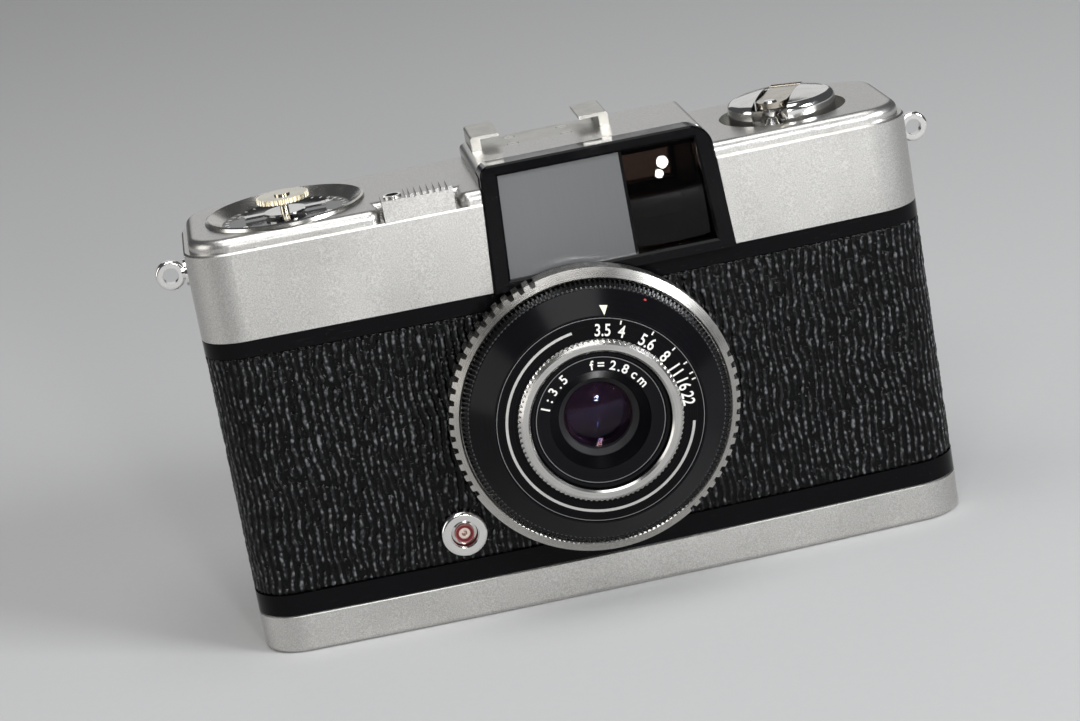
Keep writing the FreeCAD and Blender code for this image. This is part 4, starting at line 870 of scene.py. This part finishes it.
@dataclass
class Covering:
    """Embossed leatherette wrapped on the body: one piece round the front and ends, one on the back."""

    corner_radius: float = 7.0
    front_bow: float = 1.15
    cell: float = 0.26
    ridge_pitch: float = 1.15
    relief: float = 0.36
    hem: float = 0.5
    edge_ease: float = 0.5
    edge_sink: float = 0.12
    lens_hole: float = 20.0
    flash_clearance: float = 0.06
    crisp_angle: float = 75.0

    def build(self) -> None:
        """Make both pieces."""
        shell = Extent.of("front_leather")
        flash = Extent.of("flash_socket_shell")
        lens = Extent.of("name_ring").middle
        flash_radius = (flash.high.x - flash.low.x) / 2
        holes = [Hole(lens.x, lens.z, self.lens_hole),
                 Hole(flash.middle.x, flash.middle.z, flash_radius + self.flash_clearance)]
        self.wrap("front_covering", "front_leather", self.front_path(shell), holes, Body.CAMERA)
        self.wrap("back_covering", "back_leather", self.back_path(Extent.of("back_leather")), [], Body.BACK)

    def front_path(self, shell: Extent) -> list[tuple[Vector, Vector]]:
        """Line round the ends and front, from the left seam to the right seam.

        Args:
            shell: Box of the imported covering.

        Returns:
            (point, outward direction) pairs, one cell apart.
        """
        radius = self.corner_radius
        flat = shell.high.x - radius
        corner_y = shell.low.y + self.front_bow
        side_y = corner_y + radius
        back_corner = -shell.low.y - radius
        seam = math.degrees(math.asin((shell.high.y - back_corner) / radius))
        bow_radius = (flat ** 2 + self.front_bow ** 2) / (2 * self.front_bow)
        half_bow = math.degrees(math.asin(flat / bow_radius))
        path = self.arc(Vector((-flat, back_corner)), radius, 180 - seam, 180)
        path += self.straight(Vector((-flat - radius, back_corner)), Vector((-flat - radius, side_y)),
                              Vector((-1, 0)))
        path += self.arc(Vector((-flat, side_y)), radius, 180, 270)
        path += self.arc(Vector((0, shell.low.y + bow_radius)), bow_radius, 270 - half_bow, 270 + half_bow)
        path += self.arc(Vector((flat, side_y)), radius, 270, 360)
        path += self.straight(Vector((flat + radius, side_y)), Vector((flat + radius, back_corner)),
                              Vector((1, 0)))
        path += self.arc(Vector((flat, back_corner)), radius, 0, seam)
        return path

    def back_path(self, shell: Extent) -> list[tuple[Vector, Vector]]:
        """Line round the back, from the right seam to the left seam."""
        radius = self.corner_radius
        full = Extent.of("front_leather").high.x
        flat = full - radius
        back_corner = shell.high.y - radius
        seam = math.degrees(math.asin((shell.low.y - back_corner) / radius))
        path = self.arc(Vector((flat, back_corner)), radius, seam, 90)
        path += self.straight(Vector((flat, shell.high.y)), Vector((-flat, shell.high.y)), Vector((0, 1)))
        path += self.arc(Vector((-flat, back_corner)), radius, 90, 180 - seam)
        return path

    def arc(self, centre: Vector, radius: float, start: float, end: float) -> list[tuple[Vector, Vector]]:
        """Sampled arc without its last point."""
        steps = max(2, round(math.radians(end - start) * radius / self.cell))
        made = []
        for step in range(steps):
            angle = math.radians(start + (end - start) * step / steps)
            outward = Vector((math.cos(angle), math.sin(angle)))
            made.append((centre + outward * radius, outward))
        return made

    def straight(self, start: Vector, end: Vector, outward: Vector) -> list[tuple[Vector, Vector]]:
        """Sampled straight run without its last point."""
        steps = max(1, round((end - start).length / self.cell))
        return [(start.lerp(end, step / steps), outward) for step in range(steps)]

    def sink(self, along: float, up: float) -> float:
        """How far the embossed surface lies under the covering's outer face.

        Args:
            along: Distance round the body.
            up: Height.

        Returns:
            Depth in millimetres.
        """
        slow = noise.noise(Vector((along * 0.11, up * 0.14, 7.3)))
        quick = noise.noise(Vector((along * 0.38, up * 0.44, 2.1)))
        wandered = along + 1.0 * slow + 0.35 * quick
        wave = 0.5 + 0.5 * math.cos(2 * math.pi * wandered / self.ridge_pitch)
        breaks = min(1.0, max(0.3, 0.95 + 1.2 * noise.noise(Vector((along * 0.9, up * 0.6, 11.0)))))
        beads = 0.5 + 0.8 * noise.noise(Vector((along * 2.2, up * 1.7, 4.4)))
        height = min(1.0, max(0.0, 0.78 * wave * breaks + 0.34 * beads - 0.04))
        return self.relief * (1.0 - height)

    def wrap(self, name: str, node: str, path: list[tuple[Vector, Vector]], holes: list[Hole],
             body: Body) -> None:
        """Emboss one covering along a line and place it.

        Args:
            name: Name of the piece.
            node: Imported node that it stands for.
            path: (point, outward) pairs round the body.
            holes: Round holes to leave.
            body: Body to ride on.
        """
        shell = Extent.of(node)
        rows = round((shell.high.z - shell.low.z) / self.cell) + 1
        columns = len(path)
        outer: list[Vector] = []
        inner: list[Vector] = []
        ridges: list[float] = []
        for column, (place, outward) in enumerate(path):
            for row in range(rows):
                up = shell.low.z + (shell.high.z - shell.low.z) * row / (rows - 1)
                rim = min(up - shell.low.z, shell.high.z - up)
                ease = max(0.0, 1.0 - rim / self.edge_ease)
                sink = self.sink(column * self.cell, up)
                # ridge height, which the leatherette finish turns into painted highlight on the crests and
                # painted shade in the valleys
                ridges.append((1.0 - sink / self.relief) * (1.0 - ease))
                sink += self.edge_sink * ease * ease
                outer.append(Vector((place.x - outward.x * sink, place.y - outward.y * sink, up)))
                inner.append(Vector((place.x - outward.x * self.hem, place.y - outward.y * self.hem, up)))
        kept, dropped = self.sort_faces(outer, columns, rows, holes)
        self.round_off(outer, inner, kept, dropped, holes)
        faces = kept + self.hem_faces(kept, len(outer))
        data = bpy.data.meshes.new(name)
        data.from_pydata(outer + inner, [], faces)
        heights = data.attributes.new(RIDGE, "FLOAT", "POINT")
        heights.data.foreach_set("value", ridges + [0.0] * len(inner))
        tidy = bmesh.new()
        tidy.from_mesh(data)
        loose = [vertex for vertex in tidy.verts if not vertex.link_faces]
        bmesh.ops.delete(tidy, geom=loose, context="VERTS")
        bmesh.ops.recalc_face_normals(tidy, faces=tidy.faces)
        tidy.to_mesh(data)
        tidy.free()
        made = place_mesh(name, data, body, LEATHER, self.crisp_angle)
        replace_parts(made, node)

    def sort_faces(self, outer: list[Vector], columns: int, rows: int,
                   holes: list[Hole]) -> tuple[list[tuple[int, ...]], list[tuple[int, ...]]]:
        """Split the grid into faces that stay and faces inside a hole."""
        kept = []
        dropped = []
        for column in range(columns - 1):
            for row in range(rows - 1):
                corner = column * rows + row
                face = (corner, corner + rows, corner + rows + 1, corner + 1)
                middle = (outer[face[0]] + outer[face[2]]) / 2
                inside = any(middle.y < 0 and math.hypot(middle.x - hole.x, middle.z - hole.z) < hole.radius
                             for hole in holes)
                (dropped if inside else kept).append(face)
        return kept, dropped

    def round_off(self, outer: list[Vector], inner: list[Vector], kept: list[tuple[int, ...]],
                  dropped: list[tuple[int, ...]], holes: list[Hole]) -> None:
        """Move the corners on each hole's edge onto its circle."""
        edge = {corner for face in dropped for corner in face} & {corner for face in kept for corner in face}
        for corner in edge:
            point = outer[corner]
            hole = min(holes, key=lambda each: abs(math.hypot(point.x - each.x, point.z - each.z)
                                                   - each.radius))
            reach = math.hypot(point.x - hole.x, point.z - hole.z)
            for sheet in (outer, inner):
                sheet[corner] = Vector((hole.x + (point.x - hole.x) * hole.radius / reach, sheet[corner].y,
                                        hole.z + (point.z - hole.z) * hole.radius / reach))

    def hem_faces(self, kept: list[tuple[int, ...]], offset: int) -> list[tuple[int, ...]]:
        """Faces that turn every free edge inwards."""
        uses: dict[frozenset[int], list[tuple[int, int]]] = {}
        for face in kept:
            for start, end in zip(face, face[1:] + face[:1]):
                uses.setdefault(frozenset((start, end)), []).append((start, end))
        free = [runs[0] for runs in uses.values() if len(runs) == 1]
        return [(end, start, start + offset, end + offset) for start, end in free]


# ---- body, covers and their fittings ----

@dataclass
class Shell:
    """Casting, covers, gate, lugs and the pieces of the back and base."""

    def dress(self) -> None:
        """Give each node its finish."""
        dress(ENAMEL, "body_casting", "back_panel")
        dress(INNER_BLACK, "film_gate", "pressure_plate")
        dress(SATIN, "top_cover", "bottom_cover")
        dress(CHROME, "strap_lug_left", "strap_lug_right", "tripod_bush")
        dress(NICKEL, "lock_key", "lock_handle", "rewind_release_button")
        dress(STEEL, "pressure_spring", "rewind_shaft")
        dress(BRASS, "rewind_collar")
        dress(SHOE_PLATE, "accessory_shoe")
        dress(NICKEL, "shoe_screws", "film_sprocket", "advance_wheel")
        dress(MOULDED_BLACK, "take_up_spool", "finder_tube", "eyepiece_frame")


@dataclass
class Finder:
    """Viewfinder: bezel, frosted pane, a curved objective and the tube behind it."""

    curve_radius: float = 40.0
    lean: float = 4.5
    taper: float = 1.1 / 19.2
    cells: int = 30
    bulge: float = 1.0
    edge_thickness: float = 0.7

    def build(self) -> None:
        """Dress the frame and make the curved objective."""
        dress(ENAMEL, "finder_frame")
        dress(FROSTED, "frosted_window")
        dress(CLEAR, "eyepiece_lens")
        dress(SHADED_FINDER_GLASS, "finder_objective")
        self.objective()

    def objective(self) -> None:
        """Front lens of the finder, cut square, with a bulging face and a flat back, in glass tinted
        near-black as painted shade for the dark finder behind it.
        """
        pane = Extent.of("finder_objective")
        lean = math.tan(math.radians(self.lean))
        rows = self.cells + 1
        front: list[Vector] = []
        back: list[Vector] = []
        for row in range(rows):
            rise = (pane.high.z - pane.low.z) * row / self.cells
            right = pane.high.x - self.taper * rise
            for column in range(rows):
                x = pane.low.x + (right - pane.low.x) * column / self.cells
                reach_x = x - pane.middle.x
                reach_z = pane.low.z + rise - pane.middle.z
                drop = self.curve_radius - math.sqrt(self.curve_radius ** 2 - reach_x ** 2 - reach_z ** 2)
                plane = pane.low.y + lean * rise
                front.append(Vector((x, plane - self.bulge + drop, pane.low.z + rise)))
                back.append(Vector((x, plane + self.edge_thickness, pane.low.z + rise)))
        count = rows * rows
        rim = list(range(rows))
        rim += [rows * row + rows - 1 for row in range(1, rows)]
        rim += [count - 1 - column for column in range(1, rows)]
        rim += [rows * (rows - 1 - row) for row in range(1, rows)]
        faces: list[tuple[int, ...]] = []
        for row in range(self.cells):
            for column in range(self.cells):
                corner = row * rows + column
                quad = (corner, corner + 1, corner + rows + 1, corner + rows)
                faces.append(quad)
                faces.append(tuple(count + index for index in reversed(quad)))
        for start, end in zip(rim, rim[1:]):
            faces.append((start, end, count + end, count + start))
        lens = Work("finder_front_lens")
        lens.add(front + back, faces)
        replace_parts(lens.place(Body.CAMERA, SHADED_FINDER_GLASS, 30.0), "finder_objective")


@dataclass
class Counter:
    """Frame counter: bright rim, black dial with figures, pointer and knob."""

    figure_height: float = 1.3
    figure_radius: float = 7.6
    frames: int = 36
    figure_every: int = 6
    first_degrees: float = 180.0
    tick_half_degrees: float = 0.6
    tick_inner: float = 8.75
    long_tick_inner: float = 8.65
    tick_outer: float = 9.35

    def build(self) -> None:
        """Dress the nodes and mark the dial."""
        dress(NICKEL, "counter_bezel")
        dress(COUNTER_BLACK, "counter_dial")
        dress(CHROME, "counter_pointer")
        dress(KNOB_NICKEL, "counter_knob")
        spindle = upright_spindle("counter_dial")
        top = Extent.of("counter_dial").high.z
        marks = Work("counter_marks")
        for frame_number in range(self.frames):
            angle = self.first_degrees + 360.0 * frame_number / self.frames
            half = self.tick_half_degrees
            inner = self.tick_inner if frame_number % self.figure_every else self.long_tick_inner
            marks.band(spindle, (inner, self.tick_outer), (angle - half, angle + half),
                       (top - 0.05, top + 0.02), 1)
            if frame_number % self.figure_every == 0:
                middle = spindle.at(self.figure_radius, angle, top)
                outward = (spindle.at(1.0, angle, 0) - spindle.origin).normalized()
                marks.letters(str(frame_number), self.figure_height, middle, outward.cross(Vector((0, 0, 1))),
                              outward, thickness=0.05)
        marks.place(Body.CAMERA, WHITE_FILL)


@dataclass
class Controls:
    """Release, cable bush, rewind knob and crank."""

    def dress(self) -> None:
        """Give each node its finish."""
        dress(SATIN, "release_button")
        dress(CHROME, "release_bush", "rewind_knob", "crank_handle")
        dress(CRANK_PLATE, "crank_arm")


@dataclass
class FlashSocket:
    """Flash socket low on the front."""

    ring_radii: Point = (1.3, 1.49)
    dish_radii: Point = (1.52, 2.18)
    steps: int = 48

    def build(self) -> None:
        """Dress the nodes and add the dished floor and the red ring."""
        dress(CHROME, "flash_socket_shell")
        dress(DARK_RED, "flash_socket_insulator")
        dress(CREAM_METAL, "flash_socket_contact")
        shell = Extent.of("flash_socket_shell")
        insulator = Extent.of("flash_socket_insulator")
        spindle = Spindle(Vector((shell.middle.x, 0, shell.middle.z)), Vector((0, -1, 0)), Vector((0, 0, 1)),
                          Vector((1, 0, 0)))
        top = -insulator.low.y
        ring = Work("socket_red_ring")
        inner, outer = self.ring_radii
        ring.turn(spindle, [(inner, top - 0.1), (outer, top - 0.1), (outer, top + 0.03),
                            (outer - 0.08, top + 0.08), (inner + 0.08, top + 0.08), (inner, top + 0.03)],
                  self.steps)
        ring.place(Body.CAMERA, PINK_RED)
        dish = Work("socket_dish")
        low, high = self.dish_radii
        face = -shell.low.y
        dish.turn(spindle, [(low, top - 1.0), (high, top - 1.0), (high, face - 0.45),
                            (high - 0.12, face - 0.45), (low + 0.2, top - 0.55), (low, top - 0.45)],
                  self.steps)
        dish.place(Body.CAMERA, CHROME)


# ---- lens ----

@dataclass(frozen=True)
class Figure:
    """A character or short number on the lens: clockwise degrees from the top and its radius."""

    text: str
    degrees: float
    radius: float


@dataclass
class Lens:
    """Focus ring, knurled speed ring, cone, aperture scale, grip, name ring and glasses."""

    figure_height: float = 1.8
    small_height: float = 1.35
    knurl_teeth: int = 170
    knurl_samples: int = 6
    knurl_depth: float = 0.34
    mark_rise: float = 0.025
    ridge_count: int = 9
    throat_radius: float = 6.06
    ridges_from: float = 7.5
    dish_depth: float = 0.2
    data_radius: float = 8.5
    line_radii: Point = (9.6, 9.7)
    tick_radii: Point = (14.75, 15.35)
    tick_half_degrees: float = 0.4
    arc_radii: Point = (13.85, 14.25)
    arc_degrees: Point = (102.3, 351.6)
    index_degrees: float = 11.3
    index_radii: Point = (16.02, 17.25)
    index_half_width: float = 0.62
    cone_top_radius: float = 16.0
    cone_run: float = 3.25
    dot_place: Point = (18.7, 31.4)
    dot_radius: float = 0.24
    dot_corners: int = 12
    spindle: Spindle = field(default_factory=lens_spindle)

    def build(self) -> None:
        """Dress the nodes and make the fine pieces."""
        dress(RIM_SATIN, "focus_ring", "focus_helicoid")
        dress(LENS_BLACK, "index_cone", "shutter_housing")
        dress(DIAL_BLACK, "aperture_scale")
        dress(GRIP_CHROME, "aperture_grip")
        dress(INNER_BLACK, "front_barrel", "rear_barrel")
        dress(COATED, "front_element")
        dress(INNER_GLASS, "middle_element", "rear_element")
        dress(BLADE, *(f"aperture_blade_{index}" for index in range(1, 6)))
        dress(BLADE, "shutter_blade_1", "shutter_blade_2")
        self.knurled_ring()
        self.name_ring()
        self.scale_marks()
        self.scale_arc()
        self.index_mark()

    def knurled_ring(self) -> None:
        """Speed ring with fine teeth round its front edge, and grey metal marks on the tooth crests as
        painted glints.
        """
        box = Extent.of("speed_ring")
        outer = (box.high.x - box.low.x) / 2 - 0.002
        rear, front = -box.high.y, -box.low.y
        housing = Extent.of("shutter_housing")
        bore = (housing.high.x - housing.low.x) / 2 + 0.05
        profile = [(bore, rear), (outer, rear), (outer, front - 0.9), (outer, front - 0.38),
                   (outer - 0.62, front - 0.06), (outer - 0.8, front), (bore, front)]
        toothed = {2: 1.0, 3: 1.0, 4: 0.75}

        def ripple(step: int, index: int) -> float:
            """Radius lost at a step: half of each tooth's samples are down."""
            down = (step % self.knurl_samples) >= self.knurl_samples // 2
            return -self.knurl_depth * toothed.get(index, 0.0) if down else 0.0

        ring = Work("knurled_speed_ring")
        ring.turn(self.spindle, profile, self.knurl_teeth * self.knurl_samples, ripple)
        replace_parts(ring.place(Body.SPEED, KNURL_BLACK, 25.0), "speed_ring")
        # painted glints: a small grey metal mark on each tooth crest
        glint_marks = Work("knurl_painted_glints")
        pitch = 360.0 / self.knurl_teeth
        for index in range(self.knurl_teeth):
            degrees = index * pitch
            glint_marks.band(self.spindle, (outer - 0.98, outer - 0.82), (degrees, degrees + 0.45 * pitch),
                        (front - 0.1, front - 0.02 + self.mark_rise), 1)
        glint_marks.place(Body.SPEED, CREST_GLINT_PLATE)

    def name_ring(self) -> None:
        """Dished black ring with fine steps down to the glass, a thin line and its lens data."""
        box = Extent.of("name_ring")
        outer = (box.high.x - box.low.x) / 2
        rear, front = -box.high.y, -box.low.y
        throat, ridges_from, face = self.throat_radius, self.ridges_from, front - self.dish_depth
        profile = [(throat, rear), (outer, rear), (outer, front - 0.15), (outer - 0.2, front),
                   (9.95, front), (9.85, face), (ridges_from + 0.1, face), (ridges_from, front - 0.45)]
        drop = (front - 0.5 - rear - 0.25) / self.ridge_count
        width = (ridges_from - throat) / self.ridge_count
        for index in range(self.ridge_count):
            radius = ridges_from - index * width
            height = front - 0.5 - index * drop
            profile.append((radius - width * 0.25, height - drop * 0.95))
            profile.append((radius - width * 0.95, height - drop * 0.75))
        ring = Work("dished_name_ring")
        ring.turn(self.spindle, profile, 180)
        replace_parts(ring.place(Body.LENS_UNIT, LENS_BLACK, 20.0), "name_ring")
        line = Work("name_ring_line")
        line.band(self.spindle, self.line_radii, (0, 360), (face - 0.05, face + self.mark_rise), 120)
        line.place(Body.LENS_UNIT, FAINT_LINE)
        spots = (("1", -67.4), (":", -57.7), ("3", -47.5), (".", -39.5), ("5", -31.6), ("f", 0.0),
                 ("=", 9.5), ("2", 21.8), (".", 28.8), ("8", 35.0), ("c", 46.0), ("m", 57.6))
        data = [Figure(text, degrees, self.data_radius) for text, degrees in spots]
        self.write("lens_data", data, self.small_height, face, Body.LENS_UNIT, 1.0)

    def write(self, name: str, figures: Sequence[Figure], height: float, face: float, body: Body,
              squeeze: float) -> None:
        """Figures on a face that looks forward.

        Args:
            name: Name of the piece.
            figures: What stands where.
            height: Height of a figure.
            face: Forward distance of the face.
            body: Body to ride on.
            squeeze: Width factor.
        """
        marks = Work(name)
        for figure in figures:
            outward = (self.spindle.at(1.0, figure.degrees, 0) - self.spindle.origin).normalized()
            right = (self.spindle.at(1.0, figure.degrees + 90, 0) - self.spindle.origin).normalized()
            middle = self.spindle.at(figure.radius, figure.degrees, face)
            marks.letters(figure.text, height, middle, right, outward, squeeze, 0.035, 2 * self.mark_rise)
        marks.place(body, WHITE_FILL)

    def scale_marks(self) -> None:
        """Aperture numbers, six ticks and the thin bright edge of the scale."""
        box = Extent.of("aperture_scale")
        front = -box.low.y
        outer = (box.high.x - box.low.x) / 2
        numbers = [Figure("3.5", 10.6, 13.75), Figure("4", 22.6, 13.75), Figure("5.6", 40.2, 13.55),
                   Figure("8", 55.2, 13.4), Figure("11", 66.9, 13.4), Figure("16", 77.1, 13.4),
                   Figure("22", 87.6, 13.4)]
        self.write("aperture_numbers", numbers, self.figure_height, front, Body.APERTURE, 0.8)
        ticks = Work("aperture_ticks")
        for degrees in (20.9, 40.4, 55.8, 66.5, 73.3, 77.0):
            half = self.tick_half_degrees
            ticks.band(self.spindle, self.tick_radii, (degrees - half, degrees + half),
                       (front - 0.05, front + self.mark_rise), 1)
        ticks.place(Body.APERTURE, WHITE_FILL)
        rim = Work("scale_rim")
        rim.band(self.spindle, (outer - 0.1, outer), (0, 360), (front - 0.1, front + self.mark_rise), 160)
        rim.place(Body.APERTURE, FAINT_LINE)

    def scale_arc(self) -> None:
        """Silver arc that closes the circle of numbers."""
        front = -Extent.of("aperture_scale").low.y
        arc = Work("scale_arc")
        arc.band(self.spindle, self.arc_radii, self.arc_degrees, (front - 0.05, front + self.mark_rise), 120)
        arc.place(Body.APERTURE, SILVER_LINE, 50.0)

    def index_mark(self) -> None:
        """Cream triangle on the cone, pointing at the scale, and the red dot beside it."""
        box = Extent.of("index_cone")
        front = -box.low.y
        slope = (front - (-box.high.y) - 0.25) / self.cone_run
        degrees = self.index_degrees
        tip_radius, base_radius = self.index_radii
        half_width = math.degrees(self.index_half_width / base_radius)

        def on_cone(radius: float, angle: float) -> Vector:
            """Point just above the cone's face."""
            height = front - (radius - self.cone_top_radius) * slope + self.mark_rise
            return self.spindle.at(radius, angle, height)

        outline = [on_cone(tip_radius, degrees), on_cone(base_radius, degrees - half_width),
                   on_cone(base_radius, degrees + half_width)]
        mark = Work("index_mark")
        mark.prism(outline, -self.spindle.along * 0.12)
        mark.place(Body.LENS_UNIT, CREAM_FILL)
        dot = Work("red_dot")
        middle = on_cone(*self.dot_place)
        angles = [2 * math.pi * turn / self.dot_corners for turn in range(self.dot_corners)]
        corners = [middle + Vector((math.cos(angle), 0, math.sin(angle))) * self.dot_radius
                   for angle in angles]
        dot.prism(corners, -self.spindle.along * 0.2)
        dot.place(Body.LENS_UNIT, RED_FILL)


# ---- studio ----

@dataclass(frozen=True)
class Softbox:
    """Flat soft light, square or round."""

    name: str
    place: tuple[float, float, float]
    size: float
    power: float
    colour: Colour = (1.0, 1.0, 1.0)
    target: tuple[float, float, float] = (0.0, 0.0, 0.035)
    shape: str = "SQUARE"

    def hang(self) -> None:
        """Put the light in the scene, aimed at its target; lengths in metres."""
        data = bpy.data.lights.new(self.name, "AREA")
        data.shape = self.shape
        data.size = self.size
        data.energy = self.power
        data.color = self.colour
        lamp = bpy.data.objects.new(self.name, data)
        lamp.location = self.place
        aim = Vector(self.target) - Vector(self.place)
        lamp.rotation_euler = aim.to_track_quat("-Z", "Y").to_euler()
        bpy.context.scene.collection.objects.link(lamp)


@dataclass
class Studio:
    """Pale floor, soft lights and the camera; lengths in metres."""

    azimuth: float = -4.927
    elevation: float = 15.917
    roll: float = -10.265
    distance: float = 0.46687
    focal_length: float = 100.05
    aim: tuple[float, float, float] = (-0.005174, 0.000487, 0.034143)
    floor_reach: float = 3.0

    def build(self) -> None:
        """Set the floor, lights, world and camera."""
        self.lay_floor()
        lights = (
            Softbox("right_key", (0.85, -0.75, 0.55), 0.4, 13.0, (0.95, 0.975, 1.0)),
            Softbox("left_fill", (-1.15, -0.15, 0.4), 0.8, 4.2, (1.0, 0.98, 0.95)),
            Softbox("front_top", (-0.25, -0.95, 0.85), 0.3, 2.8),
            Softbox("overhead", (0.0, -0.2, 1.25), 0.8, 8.0),
            Softbox("behind", (0.1, 1.3, 0.55), 0.9, 1.6),
            Softbox("upper_lamp", (0.145, -0.989, 0.246), 0.095, 2.6, shape="DISK"),
            Softbox("lower_lamp", (0.105, -1.005, 0.165), 0.07, 1.2, shape="DISK"),
        )
        for light in lights:
            light.hang()
        self.set_world()
        self.set_camera()

    def lay_floor(self) -> None:
        """Flat pale floor just under the base."""
        reach = self.floor_reach
        data = bpy.data.meshes.new("studio_floor")
        corners = [(-reach, -reach, 0), (reach, -reach, 0), (reach, reach, 0), (-reach, reach, 0)]
        data.from_pydata(corners, [], [(0, 1, 2, 3)])
        data.materials.append(PaperFloor("paper_floor", Slot.SATIN_METAL).material())
        floor = bpy.data.objects.new("studio_floor", data)
        bpy.context.scene.collection.objects.link(floor)

    def set_world(self) -> None:
        """Even grey surroundings."""
        world = bpy.data.worlds.new("studio_world")
        world.use_nodes = True
        world.node_tree.nodes["Background"].inputs[0].default_value = (0.07, 0.072, 0.076, 1.0)
        bpy.context.scene.world = world
        bpy.context.scene.view_settings.view_transform = "Standard"

    def set_camera(self) -> None:
        """Long lens from the front, a little left and above, rolled clockwise."""
        azimuth = math.radians(self.azimuth)
        elevation = math.radians(self.elevation)
        roll = math.radians(self.roll)
        back = Vector((math.sin(azimuth) * math.cos(elevation), -math.cos(azimuth) * math.cos(elevation),
                       math.sin(elevation)))
        right = (-back).cross(Vector((0, 0, 1))).normalized()
        up = back.cross(right)
        level = Matrix((right, up, back)).transposed()
        data = bpy.data.cameras.new("view")
        data.lens = self.focal_length
        data.sensor_width = 36.0
        data.clip_start = 0.01
        view = bpy.data.objects.new("view", data)
        view.matrix_world = (Matrix.Translation(Vector(self.aim) + back * self.distance)
                             @ (level @ Matrix.Rotation(roll, 3, "Z")).to_4x4())
        bpy.context.scene.collection.objects.link(view)
        bpy.context.scene.camera = view


def main() -> None:
    """Build every sub-assembly in order."""
    logging.basicConfig(level=logging.INFO, format="%(message)s")
    Shell().dress()
    Finder().build()
    Counter().build()
    Controls().dress()
    FlashSocket().build()
    Lens().build()
    Covering().build()
    Studio().build()


if __name__ == "__main__":
    main()
